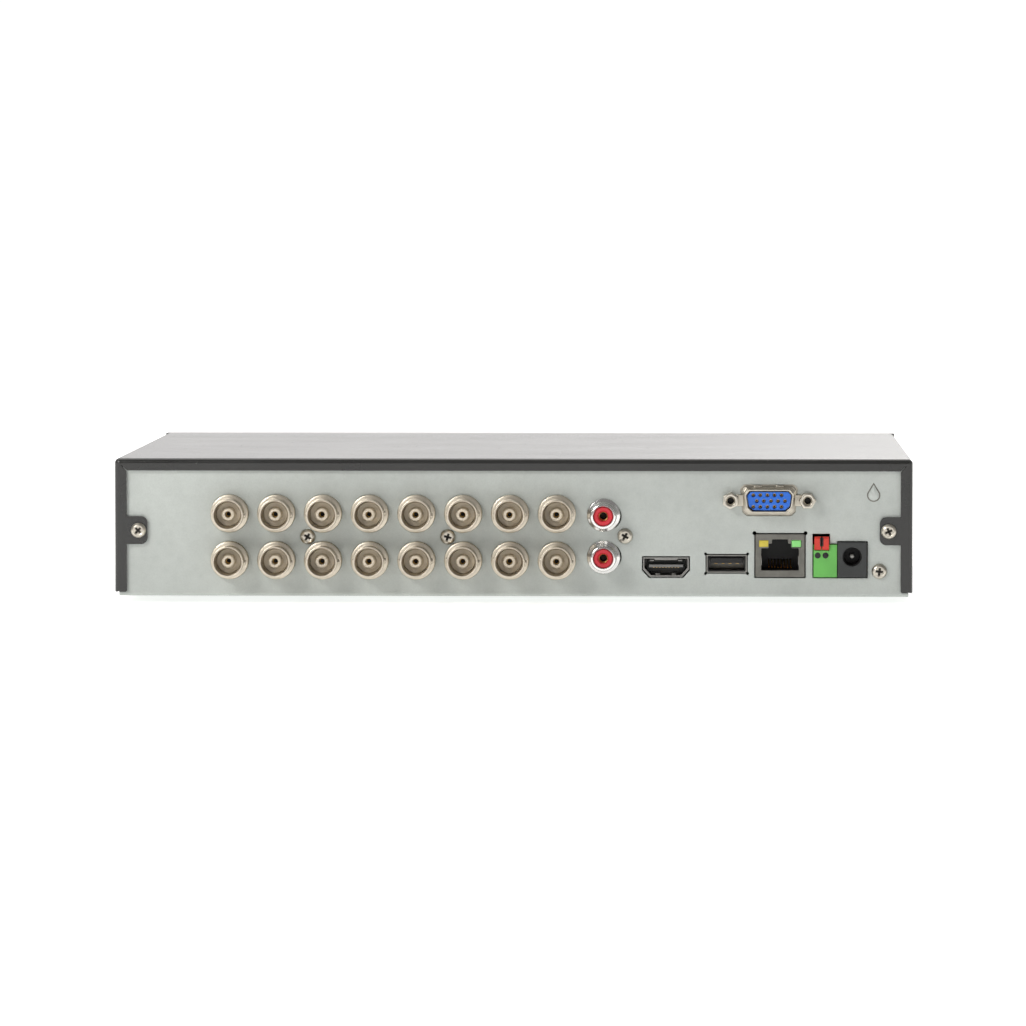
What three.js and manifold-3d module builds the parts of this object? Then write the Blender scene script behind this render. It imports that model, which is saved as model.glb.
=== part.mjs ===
// A compact digital video recorder: sixteen camera inputs on the rear panel, one hard drive inside.
// Millimetres, +Z up. The origin is the centre of the footprint, on the surface that the feet stand on.
// The plastic bezel faces -Y and the connector panel faces +Y.
// Seen from +Y, the panel has +X on its left.
import * as THREE from "three";
import { mergeVertices } from "three/addons/utils/BufferGeometryUtils.js";
import Module from "manifold-3d";

const wasm = await Module();
wasm.setup();

// ---------------------------------------------------------------- driving dimensions

// Case
const CASE_WIDTH = 260; // over the cover's side walls
const CASE_HEIGHT = 45; // from the tray's underside to the cover's top
const OVERALL_DEPTH = 225; // from the bezel's front to the tips of the camera jacks
const SHEET = 1; // steel of the tray and of the cover
const GAP = 0.3; // between neighbouring pieces
const FOOT_HEIGHT = 2;
const FOOT_RADIUS = 7;
const FOOT_INSET_X = 24; // from the case's sides to a foot's centre
const FOOT_INSET_Y = 48; // from the rear panel, and from the bezel's back, to a foot's centre

// Tray
const SIDE_FLANGE_HEIGHT = 10;
const FRONT_WALL_DROP = 4; // front wall's top below the cover's underside
const STANDOFF_RADIUS = 3;
const STANDOFF_HEIGHT = 3.6;
const FLOOR_SLOT = { width: 3, length: 22, pitch: 8, eachSide: 6, fromCentre: 40, behindBoardFront: 24 };
const TEARDROP = { radius: 2.1, height: 6.4, rise: 0.5, fromSide: 12.7, above: 34.1 }; // pressed mark

// Cover
const COVER_LIFT = 1.3; // cover's lower edge above the tray's underside
const REAR_FLANGE = 4; // width of the rear flange that frames the panel
const TAB = { reach: 10.7, height: 9.1, radius: 2.2, above: 21.5 }; // screw tabs of the rear flange
const SIDE_SLOT = { width: 3, height: 20, pitch: 7.5, count: 11, fromFront: 13, above: 13 };

// Screws
const SCREW = {
  headRadius: 2.5,
  headHeight: 1.9,
  shankRadius: 1.4,
  shank: 6,
  slotWidth: 0.8,
  slotReach: 1.6,
  slotDepth: 1.1,
};
const COVER_SCREW_INSET = 7.8; // from the case's side to the screw's axis

// Front
const BEZEL_DEPTH = 13.15;
const BEZEL_WALL = 2;
const BEZEL_RAKE = 6; // how far the bezel's foot leans back
const BEZEL_BROW = 20; // height at which the raked face turns upright
const BEZEL_TOP_CHAMFER = 3;
const HOOK = { width: 6, thick: 2, reach: 4, fromSide: 8, low: 5.5, high: 36 };
const WINDOW = { width: 42, height: 8, thick: 1.2, ledge: 1, fromSide: 46, above: 24 };
const FRONT_BOARD = {
  width: 78,
  height: 34,
  fromSide: 12,
  above: 6,
  behindFront: 9.5,
  post: 2.5,
  postInset: 4,
};
const USB = {
  width: 13.1,
  height: 5.8,
  wall: 0.4,
  depth: 14,
  floor: 1.5,
  tongueWidth: 11,
  tongue: 1.8,
  tongueDrop: 0.9,
};
const FRONT_USB_FROM_SIDE = 30;
const RIBBON_SLOT = { width: 22, height: 12, above: 9 };

// Main board
const BOARD = {
  edge: 8,
  depth: 90,
  thick: 1.6,
  inset: 1,
  holeInset: 6,
  holeRadius: 1.7,
  frontRow: 5.5,
  backRow: 60.5,
};
const CHIP = { size: 25, thick: 1.6, x: -5, fromFront: 32.5 };
const HEAT_SINK = { size: 44, base: 3, height: 14, fins: 9, finThick: 1.4 };
const COIN_CELL = { radius: 10, thick: 3.2, raise: 1.6, x: -62, fromFront: 26 };

// Camera jacks: eight columns of two
const BNC = {
  columns: 8,
  pitch: 15.24, // of the columns and of the two rows
  firstFromSide: 37.6,
  lowAxis: 5.3, // lower row above the sockets' base
  reach: 11,
  collarRadius: 6.2,
  collarReach: 3.2,
  barrelRadius: 4.9,
  boreRadius: 4.15,
  boreFloor: 2.4,
  coreRadius: 2.4,
  coreReach: 9,
  lugRadius: 0.9,
  lugReach: 5.5,
  lugFromTip: 4.6,
  housingDepth: 20,
  housingCrown: 6, // top of the upper housing above its jack's axis
  screwClearance: 0.46, // between a collar and the head of a panel screw beside it
  segments: 12,
};
// Audio jacks, one above the other beside the last camera column
const RCA = {
  gap: 15.2, // from the last camera column
  lowAxis: 6.4,
  pitch: 13.7,
  flangeRadius: 5.45,
  flange: 1.6,
  barrelRadius: 4.15,
  reach: 9.4,
  crown: 6, // top of the upper housing above its jack's axis
  housingDepth: 16,
  housingSide: 10,
  segments: 16,
};
const RCA_INSERT = { radius: 3.1, hole: 1.55, holeDepth: 8, recess: 0.5, tail: 9 };
// Sockets along the panel's lower edge, from the power jack inwards
const POWER_JACK = {
  fromSide: 14.9,
  width: 9.5,
  height: 11.4,
  depth: 14,
  proud: 1.4,
  holeRadius: 3.15,
  holeDepth: 9,
  holeAbove: 7,
  pinRadius: 1,
};
const TERMINAL = {
  width: 7.6,
  height: 10.6,
  depth: 12,
  proud: 1,
  pitch: 2.54,
  firstWire: 1.35, // from the block's inner side to the first wire's centre
  wireRadius: 0.65,
  wireAbove: 7.1,
  lip: 0.9, // front wall of a lever's slot
  lipDrop: 1.9,
  slotDepth: 3.6,
  slotLength: 5.4,
};
const LEVER_WIDTH = 2.2;
const LEVER_SWING_ROOM = 3.8; // cut out of the panel above the terminal block for the pushed levers
// A terminal lever's side outline as (towards +Y, up), from the block's top front edge
const LEVER_OUTLINE = [
  [0.8, -1.6],
  [0.8, 2],
  [0.2, 2.6],
  [-2.4, 2.6],
  [-4, 0.6],
  [-4.6, -0.6],
  [-4.6, -2.2],
  [-1.6, -2.9],
  [-1.3, -1.6],
];
const NETWORK = {
  width: 16,
  height: 14,
  depth: 21,
  proud: 0.6,
  plugWidth: 12,
  plugHeight: 7.6,
  plugAbove: 2.2,
  keyWidth: 6.6,
  keyHeight: 2.4,
  plugDepth: 13,
};
const HDMI = {
  width: 15,
  height: 6.4,
  depth: 11.5,
  wall: 0.5,
  foot: 10.6,
  shoulder: 2.4,
  tongueWidth: 11,
  tongue: 1,
};
const USB_RAISE = 1.4; // of the rear socket over its neighbours
const SOCKET_GAPS = { jackToTerminal: 0.2, terminalToNetwork: 2.9, networkToUsb: 2.8, usbToHdmi: 5.7 };
// Radii of the punched reliefs in the corners of two cut-outs
const USB_RELIEF = 0.5;
const NETWORK_RELIEF = 0.75;
// Monitor socket above the network socket
const VGA = {
  fromSide: 46.7,
  axis: 25, // above the sockets' base
  width: 17,
  height: 8.6,
  taper: 1, // each slanted side of the D
  corner: 1.4,
  wall: 0.5,
  reach: 5.9,
  skirt: 0.9, // flared base of the D, all round
  skirtReach: 1.2,
  flangeWidth: 31,
  flangeHeight: 12.4,
  flange: 0.8,
  insertRecess: 0.7,
  bodyWidth: 18.6,
  bodyHeight: 10,
  bodyDepth: 10,
  screwPitch: 25,
};
const HEX_SCREW = { across: 4.8, height: 4.9, tapRadius: 1.4, tapDepth: 4, shankRadius: 1.4, shank: 6 };
// Screws of the rear panel
const JACK_SCREW_COLUMNS = [2, 5]; // the camera columns that they stand beside
const RCA_SCREW_ASIDE = 7;
const GROUND_SCREW = { fromSide: 10.8, above: 8.4 };

// Hard drive, lying across the front of the tray
const DRIVE = {
  length: 147,
  width: 101.6,
  height: 26.1,
  lid: 1.5,
  floor: 8,
  wall: 4,
  corner: 3,
  padHeight: 1.5,
  padRadius: 4.5,
  fromSide: 20,
  behindWall: 2.5,
  screwInset: 28.5, // from the drive's -X end to the first pair of fixing screws
  screwPitch: 76.2,
  screwEdge: 4.5,
};
const PLATTER = {
  radius: 47.5,
  clearance: 1.2,
  hubRadius: 12.5,
  hubHeight: 13,
  thick: 1.3,
  spacing: 5,
  fromEnd: 53,
  raise: 3.5,
};
const ARM = {
  length: 51,
  pivotAlong: 58, // from the spindle, along the drive
  pivotAside: 26, // from the spindle, towards the panel
  pivotRadius: 6,
  rootWidth: 11,
  tipWidth: 4.4,
  blade: 1.2,
  parkClearance: 0.3, // between the parked tip and the discs' rim
  tail: 14,
  tailWidth: 20,
  tailThick: 4,
};
const ARM_BAY_FROM_SPINDLE = 30;

// Fan on the +X wall of the tray
const FAN = {
  size: 40,
  thick: 10,
  boreRadius: 18.8,
  hubRadius: 9,
  motorPlate: 1.5,
  strutWidth: 2.4,
  screwPitch: 32,
  fromWall: 20,
  raise: 0.3,
  wallMargin: 2,
};
const FAN_BLADE = { count: 7, reach: 17.9, thick: 1, chord: 7, pitchAngle: 0.62 };

// Inner leads
const LEAD_PLUG = { length: 12, height: 6, seat: 4 }; // seat: how far a plug goes into the drive's end
const DATA_LEAD = { width: 8, thick: 1.8, plugWidth: 14.5, run: 14, fromDriveEdge: 66, header: 11 };
const POWER_LEAD = { width: 9, thick: 3, plugWidth: 21, run: 34, fromDriveEdge: 42, header: 11 };
const LEAD_BEND = 8;
const LEAD_ONTO_BOARD = 4; // from the board's front edge to the header plugs
const RIBBON = { width: 12.7, thick: 1, fromSide: 30, dip: 6, headerAbove: 15 };

// ---------------------------------------------------------------- levels and planes worked out from them

const TRAY_BOTTOM = FOOT_HEIGHT;
const FLOOR = TRAY_BOTTOM + SHEET;
const TOP = TRAY_BOTTOM + CASE_HEIGHT;
const UNDER_COVER = TOP - SHEET - GAP; // nothing of the tray reaches higher
const SIDE = CASE_WIDTH / 2;
const TRAY_SIDE = SIDE - SHEET - GAP;
const FRONT_Y = -OVERALL_DEPTH / 2;
const BEZEL_BACK_Y = FRONT_Y + BEZEL_DEPTH;
const CASE_FRONT_Y = BEZEL_BACK_Y + GAP;
const PANEL_Y = OVERALL_DEPTH / 2 - BNC.reach; // outer face of the rear panel
const PANEL_INNER_Y = PANEL_Y - SHEET;
const FLANGE_Y = PANEL_Y + GAP; // inner face of the cover's rear flange
const BOARD_BOTTOM = FLOOR + STANDOFF_HEIGHT;
const BOARD_TOP = BOARD_BOTTOM + BOARD.thick;
const SOCKET_BASE = BOARD_TOP + GAP;
const BOARD_BACK_Y = PANEL_INNER_Y - BOARD.inset;
const BOARD_FRONT_Y = BOARD_BACK_Y - BOARD.depth;

// ---------------------------------------------------------------- making solids

// A three.js geometry as a manifold solid, with shared vertices merged and collapsed triangles dropped.
function solidOf(geometry) {
  const loose = geometry.index ? geometry.toNonIndexed() : geometry;
  const bare = new THREE.BufferGeometry().setAttribute("position", loose.getAttribute("position"));
  const merged = mergeVertices(bare, 1e-4);
  const index = merged.index.array;
  const kept = [];
  for (let i = 0; i < index.length; i += 3) {
    const [a, b, c] = [index[i], index[i + 1], index[i + 2]];
    if (a !== b && b !== c && a !== c) kept.push(a, b, c);
  }
  const make = (corners) =>
    new wasm.Manifold(
      new wasm.Mesh({
        numProp: 3,
        vertProperties: merged.attributes.position.array,
        triVerts: new Uint32Array(corners),
      }),
    );
  const made = make(kept);
  return made.volume() > 0 ? made : make(kept.reverse());
}

// A manifold solid as a three.js geometry with flat faces.
function geometryOf(solid) {
  const mesh = solid.getMesh();
  const places = new Float32Array(mesh.numVert * 3);
  for (let i = 0; i < mesh.numVert; i++)
    places.set(mesh.vertProperties.subarray(i * mesh.numProp, i * mesh.numProp + 3), i * 3);
  const geometry = new THREE.BufferGeometry()
    .setAttribute("position", new THREE.BufferAttribute(places, 3))
    .setIndex(new THREE.BufferAttribute(mesh.triVerts, 1))
    .toNonIndexed();
  geometry.computeVertexNormals();
  return geometry;
}

const join = (...solids) => solids.flat().reduce((a, b) => a.add(b));
const cut = (solid, ...tools) => tools.flat().reduce((a, b) => a.subtract(b), solid);

// A block between two opposite corners.
function block([x0, x1], [y0, y1], [z0, z1]) {
  const geometry = new THREE.BoxGeometry(x1 - x0, y1 - y0, z1 - z0);
  return solidOf(geometry.translate((x0 + x1) / 2, (y0 + y1) / 2, (z0 + z1) / 2));
}

// A round bar along "x", "y" or "z" from one level to another, centred at the other two coordinates.
function rod(axis, radius, from, to, [a, b] = [0, 0], segments = 16) {
  const geometry = new THREE.CylinderGeometry(radius, radius, to - from, segments);
  if (axis === "x") geometry.rotateZ(-Math.PI / 2).translate((from + to) / 2, a, b);
  if (axis === "y") geometry.translate(a, (from + to) / 2, b);
  if (axis === "z") geometry.rotateX(Math.PI / 2).translate(a, b, (from + to) / 2);
  return solidOf(geometry);
}

const shapeOf = (points) => new THREE.Shape(points.map(([a, b]) => new THREE.Vector2(a, b)));

// An outline swept straight along an axis: its own x and y become the two axes named by the plane.
const PLANES = {
  xy: [new THREE.Vector3(1, 0, 0), new THREE.Vector3(0, 1, 0), new THREE.Vector3(0, 0, 1)],
  yz: [new THREE.Vector3(0, 1, 0), new THREE.Vector3(0, 0, 1), new THREE.Vector3(1, 0, 0)],
  zx: [new THREE.Vector3(0, 0, 1), new THREE.Vector3(1, 0, 0), new THREE.Vector3(0, 1, 0)],
};
function prism(plane, shape, from, to, curveSegments = 6) {
  const geometry = new THREE.ExtrudeGeometry(shape, { depth: to - from, bevelEnabled: false, curveSegments });
  const [u, v, w] = PLANES[plane];
  geometry.applyMatrix4(new THREE.Matrix4().makeBasis(u, v, w));
  return solidOf(geometry.translate(w.x * from, w.y * from, w.z * from));
}
// The same for an outline given as (x, z) pairs on the panel, swept along Y.
const panelPrism = (points, from, to) => prism("zx", shapeOf(points.map(([x, z]) => [z, x])), from, to);

// A turned body round the Y axis from (radius, y) pairs.
function turned(profile, segments) {
  return solidOf(
    new THREE.LatheGeometry(
      profile.map(([r, y]) => new THREE.Vector2(r, y)),
      segments,
    ),
  );
}

function roundedRectangle([x0, x1], [y0, y1], radius) {
  const shape = new THREE.Shape();
  shape.moveTo(x0 + radius, y0).lineTo(x1 - radius, y0);
  shape.absarc(x1 - radius, y0 + radius, radius, -Math.PI / 2, 0);
  shape.lineTo(x1, y1 - radius).absarc(x1 - radius, y1 - radius, radius, 0, Math.PI / 2);
  shape.lineTo(x0 + radius, y1).absarc(x0 + radius, y1 - radius, radius, Math.PI / 2, Math.PI);
  shape.lineTo(x0, y0 + radius).absarc(x0 + radius, y0 + radius, radius, Math.PI, 1.5 * Math.PI);
  return shape;
}

// A flat lead of one section swept along a path that lies in a plane.
function lead(path, width, thick, steps) {
  const section = shapeOf([
    [-width / 2, -thick / 2],
    [width / 2, -thick / 2],
    [width / 2, thick / 2],
    [-width / 2, thick / 2],
  ]);
  return solidOf(new THREE.ExtrudeGeometry(section, { steps, extrudePath: path, bevelEnabled: false }));
}

const shift = (solid, x, y, z) => solid.translate([x, y, z]);
const range = (n) => Array.from({ length: n }, (_, i) => i);
const around = (n) => range(n).map((i) => (i * 2 * Math.PI) / n);

// ---------------------------------------------------------------- materials and nodes

const paint = (color, roughness, metalness) => new THREE.MeshStandardMaterial({ color, roughness, metalness });
const MATERIALS = {
  zincSteel: paint(0xb4b8b4, 0.42, 0.75),
  blackPaint: paint(0x2c2c2a, 0.38, 0.1),
  nickel: paint(0xc9bfa9, 0.28, 0.95),
  chrome: paint(0xd8d8d4, 0.1, 1),
  blackPlastic: paint(0x242523, 0.45, 0),
  glossPlastic: paint(0x121314, 0.15, 0),
  smokedWindow: paint(0x1a1012, 0.08, 0),
  redPlastic: paint(0xb32a34, 0.35, 0),
  leverRed: paint(0xc8463c, 0.45, 0),
  greenPlastic: paint(0x79ad6b, 0.5, 0),
  bluePlastic: paint(0x2f6fc4, 0.45, 0),
  rubber: paint(0x1c1c1c, 0.9, 0),
  boardGreen: paint(0x1f5a38, 0.5, 0),
  aluminium: paint(0xb9bcc0, 0.4, 0.9),
  castAluminium: paint(0x9a9c9e, 0.5, 0.8),
  mirrorDisc: paint(0xd9dde2, 0.05, 1),
  leadRed: paint(0xa3262a, 0.5, 0),
  leadBlack: paint(0x191919, 0.6, 0),
  ribbonGrey: paint(0xa8a9a6, 0.6, 0),
};

function node(name, solid, material, [x, y, z] = [0, 0, 0]) {
  const mesh = new THREE.Mesh(geometryOf(solid), MATERIALS[material]);
  mesh.name = name;
  mesh.position.set(x, y, z);
  return mesh;
}

function group(...meshes) {
  const made = new THREE.Group();
  made.add(...meshes.flat());
  return made;
}

// ---------------------------------------------------------------- places shared by several pieces

const onTray = (above) => TRAY_BOTTOM + above;
const span = (centre, width) => [centre - width / 2, centre + width / 2];
const grow = ([a, b], by) => [a - by, b + by];

const bncColumnX = (i) => SIDE - BNC.firstFromSide - i * BNC.pitch;
const bncRowZ = (row) => SOCKET_BASE + BNC.lowAxis + row * BNC.pitch;
const RCA_X = bncColumnX(BNC.columns - 1) - RCA.gap;
const rcaRowZ = (row) => SOCKET_BASE + RCA.lowAxis + row * RCA.pitch;

// The lower sockets, chained from the power jack at the -X side
const POWER_JACK_X = [-SIDE + POWER_JACK.fromSide, -SIDE + POWER_JACK.fromSide + POWER_JACK.width];
const TERMINAL_X = [0, TERMINAL.width].map((w) => POWER_JACK_X[1] + SOCKET_GAPS.jackToTerminal + w);
const NETWORK_X = [0, NETWORK.width].map((w) => TERMINAL_X[1] + SOCKET_GAPS.terminalToNetwork + w);
const USB_X = [0, USB.width].map((w) => NETWORK_X[1] + SOCKET_GAPS.networkToUsb + w);
const HDMI_MIDDLE = USB_X[1] + SOCKET_GAPS.usbToHdmi + HDMI.width / 2;
const NETWORK_Z = [SOCKET_BASE, SOCKET_BASE + NETWORK.height];
const USB_Z = [0, USB.height].map((h) => SOCKET_BASE + USB_RAISE + h);
const TERMINAL_FRONT = PANEL_Y + TERMINAL.proud;
const TERMINAL_TOP = SOCKET_BASE + TERMINAL.height;
const wireX = (i) => TERMINAL_X[1] - TERMINAL.firstWire - i * TERMINAL.pitch;
const VGA_X = -SIDE + VGA.fromSide;
const VGA_Z = SOCKET_BASE + VGA.axis;
const VGA_FLANGE_Y = [PANEL_INNER_Y - GAP - VGA.flange, PANEL_INNER_Y - GAP];

// Screws of the rear panel, each with the place of its axis
const JACK_SCREW_ASIDE = Math.sqrt(
  (BNC.collarRadius + SCREW.headRadius + BNC.screwClearance) ** 2 - (BNC.pitch / 2) ** 2,
);
const PANEL_SCREWS = [
  ...JACK_SCREW_COLUMNS.map((i) => [bncColumnX(i) + JACK_SCREW_ASIDE, bncRowZ(0.5)]),
  [RCA_X - RCA_SCREW_ASIDE, rcaRowZ(0.5)],
];
const GROUND_SCREW_PLACE = [-SIDE + GROUND_SCREW.fromSide, onTray(GROUND_SCREW.above)];
const COVER_SCREW_X = SIDE - COVER_SCREW_INSET;
const COVER_SCREW_Z = onTray(TAB.above);

const BOARD_X = [-SIDE + BOARD.edge, SIDE - BOARD.edge];
const BOARD_HOLES = [BOARD_X[0] + BOARD.holeInset, 0, BOARD_X[1] - BOARD.holeInset].flatMap((x) =>
  [BOARD.frontRow, BOARD.backRow].map((y) => [x, BOARD_FRONT_Y + y]),
);
const CHIP_CENTRE = [CHIP.x, BOARD_FRONT_Y + CHIP.fromFront];
const CHIP_TOP = BOARD_TOP + CHIP.thick;

const TRAY_FRONT_INNER = CASE_FRONT_Y + SHEET;
const DRIVE_X = [-SIDE + DRIVE.fromSide, -SIDE + DRIVE.fromSide + DRIVE.length];
const DRIVE_Y = [TRAY_FRONT_INNER + DRIVE.behindWall, TRAY_FRONT_INNER + DRIVE.behindWall + DRIVE.width];
const DRIVE_BOTTOM = FLOOR + DRIVE.padHeight;
const DRIVE_LID_BOTTOM = DRIVE_BOTTOM + DRIVE.height - DRIVE.lid;
const DRIVE_CAVITY_FLOOR = DRIVE_BOTTOM + DRIVE.floor;
const DRIVE_HOLES = [0, DRIVE.screwPitch].flatMap((x) =>
  [DRIVE.screwEdge, DRIVE.width - DRIVE.screwEdge].map((y) => [
    DRIVE_X[0] + DRIVE.screwInset + x,
    DRIVE_Y[0] + y,
  ]),
);
const SPINDLE = [DRIVE_X[0] + PLATTER.fromEnd, (DRIVE_Y[0] + DRIVE_Y[1]) / 2];
const ARM_PIVOT = [SPINDLE[0] + ARM.pivotAlong, SPINDLE[1] + ARM.pivotAside];

const FAN_CENTRE_Y = TRAY_FRONT_INNER + FAN.fromWall + FAN.size / 2;
const FAN_CENTRE_Z = FLOOR + FAN.raise + FAN.size / 2;
const FAN_X = [TRAY_SIDE - SHEET - GAP - FAN.thick, TRAY_SIDE - SHEET - GAP];
const FAN_SCREWS = [-1, 1].flatMap((a) =>
  [-1, 1].map((b) => [FAN_CENTRE_Y + (a * FAN.screwPitch) / 2, FAN_CENTRE_Z + (b * FAN.screwPitch) / 2]),
);

const FRONT_BOARD_X = [SIDE - FRONT_BOARD.fromSide - FRONT_BOARD.width, SIDE - FRONT_BOARD.fromSide];
const FRONT_BOARD_Y = FRONT_Y + FRONT_BOARD.behindFront;
const FRONT_BOARD_Z = [0, FRONT_BOARD.height].map((h) => onTray(FRONT_BOARD.above) + h);
const WINDOW_X = [SIDE - WINDOW.fromSide - WINDOW.width, SIDE - WINDOW.fromSide];
const WINDOW_Z = [0, WINDOW.height].map((h) => onTray(WINDOW.above) + h);
const FRONT_USB_X = span(SIDE - FRONT_USB_FROM_SIDE, USB.width);
const FRONT_USB_Z = span(onTray(WINDOW.above) + WINDOW.height / 2, USB.height);
const RIBBON_X = SIDE - RIBBON.fromSide;
const RIBBON_SLOT_Z = [0, RIBBON_SLOT.height].map((h) => onTray(RIBBON_SLOT.above) + h);
const LEAD_Z = SOCKET_BASE + LEAD_PLUG.height / 2; // level at which the leads run
const HOOKS = [-1, 1].flatMap((side) =>
  [HOOK.low, HOOK.high].map((above) => [side * (SIDE - HOOK.fromSide), onTray(above)]),
);

// ---------------------------------------------------------------- case

// A hole for one connector through the rear panel, with its clearance and, where stamped, reliefs
// in its corners at the given levels.
function panelHole(x, z, relief = 0, levels = []) {
  const through = [PANEL_INNER_Y - 1, PANEL_Y + 1];
  const hole = block(grow(x, GAP), through, grow(z, GAP));
  const corners = grow(x, GAP).flatMap((cx) => levels.map((cz) => rod("y", relief, ...through, [cx, cz], 8)));
  return join(hole, corners);
}

// The display socket, wide at the top with a chamfered foot, at an inset from its shell.
function hdmiOutline(inset) {
  const [w, f] = [HDMI.width / 2 - inset, HDMI.foot / 2 - inset / 2];
  const [z0, z1] = [SOCKET_BASE + inset, SOCKET_BASE + HDMI.height - inset];
  const shoulder = SOCKET_BASE + HDMI.shoulder;
  return [
    [HDMI_MIDDLE - w, z1],
    [HDMI_MIDDLE - w, shoulder],
    [HDMI_MIDDLE - f, z0],
    [HDMI_MIDDLE + f, z0],
    [HDMI_MIDDLE + w, shoulder],
    [HDMI_MIDDLE + w, z1],
  ];
}

function rearPanelHoles() {
  const through = [PANEL_INNER_Y - 1, PANEL_Y + 1];
  const round = (radius, place, segments) => rod("y", radius + GAP, ...through, place, segments);
  const jackRows = range(BNC.columns).flatMap((i) => [0, 1].map((row) => [bncColumnX(i), bncRowZ(row)]));
  const screws = [
    ...PANEL_SCREWS,
    GROUND_SCREW_PLACE,
    [-COVER_SCREW_X, COVER_SCREW_Z],
    [COVER_SCREW_X, COVER_SCREW_Z],
    ...[-1, 1].map((side) => [VGA_X + (side * VGA.screwPitch) / 2, VGA_Z]),
  ];
  return [
    ...jackRows.map((place) => round(BNC.barrelRadius, place, 12)),
    ...[0, 1].map((row) => round(RCA.barrelRadius, [RCA_X, rcaRowZ(row)], 12)),
    ...screws.map((place) => round(SCREW.shankRadius, place, 8)),
    panelPrism(hdmiOutline(-GAP), ...through),
    panelHole(USB_X, USB_Z, USB_RELIEF, grow(USB_Z, GAP)),
    panelHole(NETWORK_X, NETWORK_Z, NETWORK_RELIEF, [NETWORK_Z[1] + GAP]),
    panelHole(TERMINAL_X, [SOCKET_BASE, TERMINAL_TOP]),
    panelHole(
      [wireX(1) - LEVER_WIDTH / 2, wireX(0) + LEVER_WIDTH / 2],
      [TERMINAL_TOP, TERMINAL_TOP + LEVER_SWING_ROOM - GAP],
    ),
    panelHole(POWER_JACK_X, [SOCKET_BASE, SOCKET_BASE + POWER_JACK.height]),
    panelPrism(dOutline(-VGA.skirt - GAP), ...through),
  ];
}

// The earth mark: a drop with its point upwards, pressed out of the panel.
function teardrop() {
  const x = -SIDE + TEARDROP.fromSide;
  const z = onTray(TEARDROP.above);
  const low = z - TEARDROP.height / 2 + TEARDROP.radius;
  const arc = range(9).map((i) => Math.PI * (0.9 + (i * 1.2) / 8));
  const outline = arc.map((angle) => [
    x + TEARDROP.radius * Math.cos(angle),
    low + TEARDROP.radius * Math.sin(angle),
  ]);
  return panelPrism([[x, z + TEARDROP.height / 2], ...outline], PANEL_Y - SHEET / 2, PANEL_Y + TEARDROP.rise);
}

function trayFloorHoles() {
  const through = [TRAY_BOTTOM - 1, FLOOR + STANDOFF_HEIGHT + 1];
  const y = BOARD_FRONT_Y + FLOOR_SLOT.behindBoardFront;
  const slots = [-1, 1].flatMap((side) =>
    range(FLOOR_SLOT.eachSide).map((i) => {
      const x = side * (FLOOR_SLOT.fromCentre + i * FLOOR_SLOT.pitch);
      return block(span(x, FLOOR_SLOT.width), [y, y + FLOOR_SLOT.length], through);
    }),
  );
  const screws = DRIVE_HOLES.map((place) => rod("z", SCREW.shankRadius + GAP, ...through, place, 8));
  const feet = FOOT_PLACES.map((place) => rod("z", FOOT_STEM.radius + GAP, ...through, place, 12));
  return [...slots, ...screws, ...feet];
}

const FOOT_PLACES = [-1, 1].flatMap((side) =>
  [CASE_FRONT_Y + FOOT_INSET_Y, PANEL_Y - FOOT_INSET_Y].map((y) => [side * (SIDE - FOOT_INSET_X), y]),
);

// The tray: floor, low side flanges, front wall, connector panel and the wall that carries the fan.
function chassisTray() {
  const wholeY = [CASE_FRONT_Y, PANEL_Y];
  const floor = block([-TRAY_SIDE, TRAY_SIDE], wholeY, [TRAY_BOTTOM, FLOOR]);
  const flanges = [-1, 1].map((side) => {
    const x = side > 0 ? [TRAY_SIDE - SHEET, TRAY_SIDE] : [-TRAY_SIDE, -TRAY_SIDE + SHEET];
    return block(x, wholeY, [TRAY_BOTTOM, onTray(SIDE_FLANGE_HEIGHT)]);
  });
  const frontTop = UNDER_COVER - FRONT_WALL_DROP;
  const frontWall = block([-TRAY_SIDE, TRAY_SIDE], [CASE_FRONT_Y, TRAY_FRONT_INNER], [TRAY_BOTTOM, frontTop]);
  const ribbonSlot = block(
    span(RIBBON_X, RIBBON_SLOT.width),
    [CASE_FRONT_Y - 1, TRAY_FRONT_INNER + 1],
    RIBBON_SLOT_Z,
  );
  const hookSlots = HOOKS.map(([x, z]) =>
    block(
      grow(span(x, HOOK.width), GAP),
      [CASE_FRONT_Y - 1, TRAY_FRONT_INNER + 1],
      grow([z, z + HOOK.thick], GAP),
    ),
  );
  const panel = block([-TRAY_SIDE, TRAY_SIDE], [PANEL_INNER_Y, PANEL_Y], [TRAY_BOTTOM, UNDER_COVER]);
  const fanWall = block(
    [TRAY_SIDE - SHEET, TRAY_SIDE],
    span(FAN_CENTRE_Y, FAN.size + 2 * FAN.wallMargin),
    [TRAY_BOTTOM, UNDER_COVER],
  );
  const throughWall = [TRAY_SIDE - SHEET - 1, TRAY_SIDE + 1];
  const fanHoles = [
    rod("x", FAN.boreRadius, ...throughWall, [FAN_CENTRE_Y, FAN_CENTRE_Z], 24),
    ...FAN_SCREWS.map((place) => rod("x", SCREW.shankRadius + GAP, ...throughWall, place, 8)),
  ];
  const rooted = FLOOR - SHEET / 2;
  const standoffs = BOARD_HOLES.map((place) => rod("z", STANDOFF_RADIUS, rooted, BOARD_BOTTOM, place, 10));
  const pads = DRIVE_HOLES.map((place) => rod("z", DRIVE.padRadius, rooted, DRIVE_BOTTOM, place, 12));
  return join(
    cut(join(floor, standoffs, pads), trayFloorHoles()),
    flanges,
    cut(frontWall, ribbonSlot, hookSlots),
    join(cut(panel, rearPanelHoles()), teardrop()),
    cut(fanWall, fanHoles),
  );
}

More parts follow.
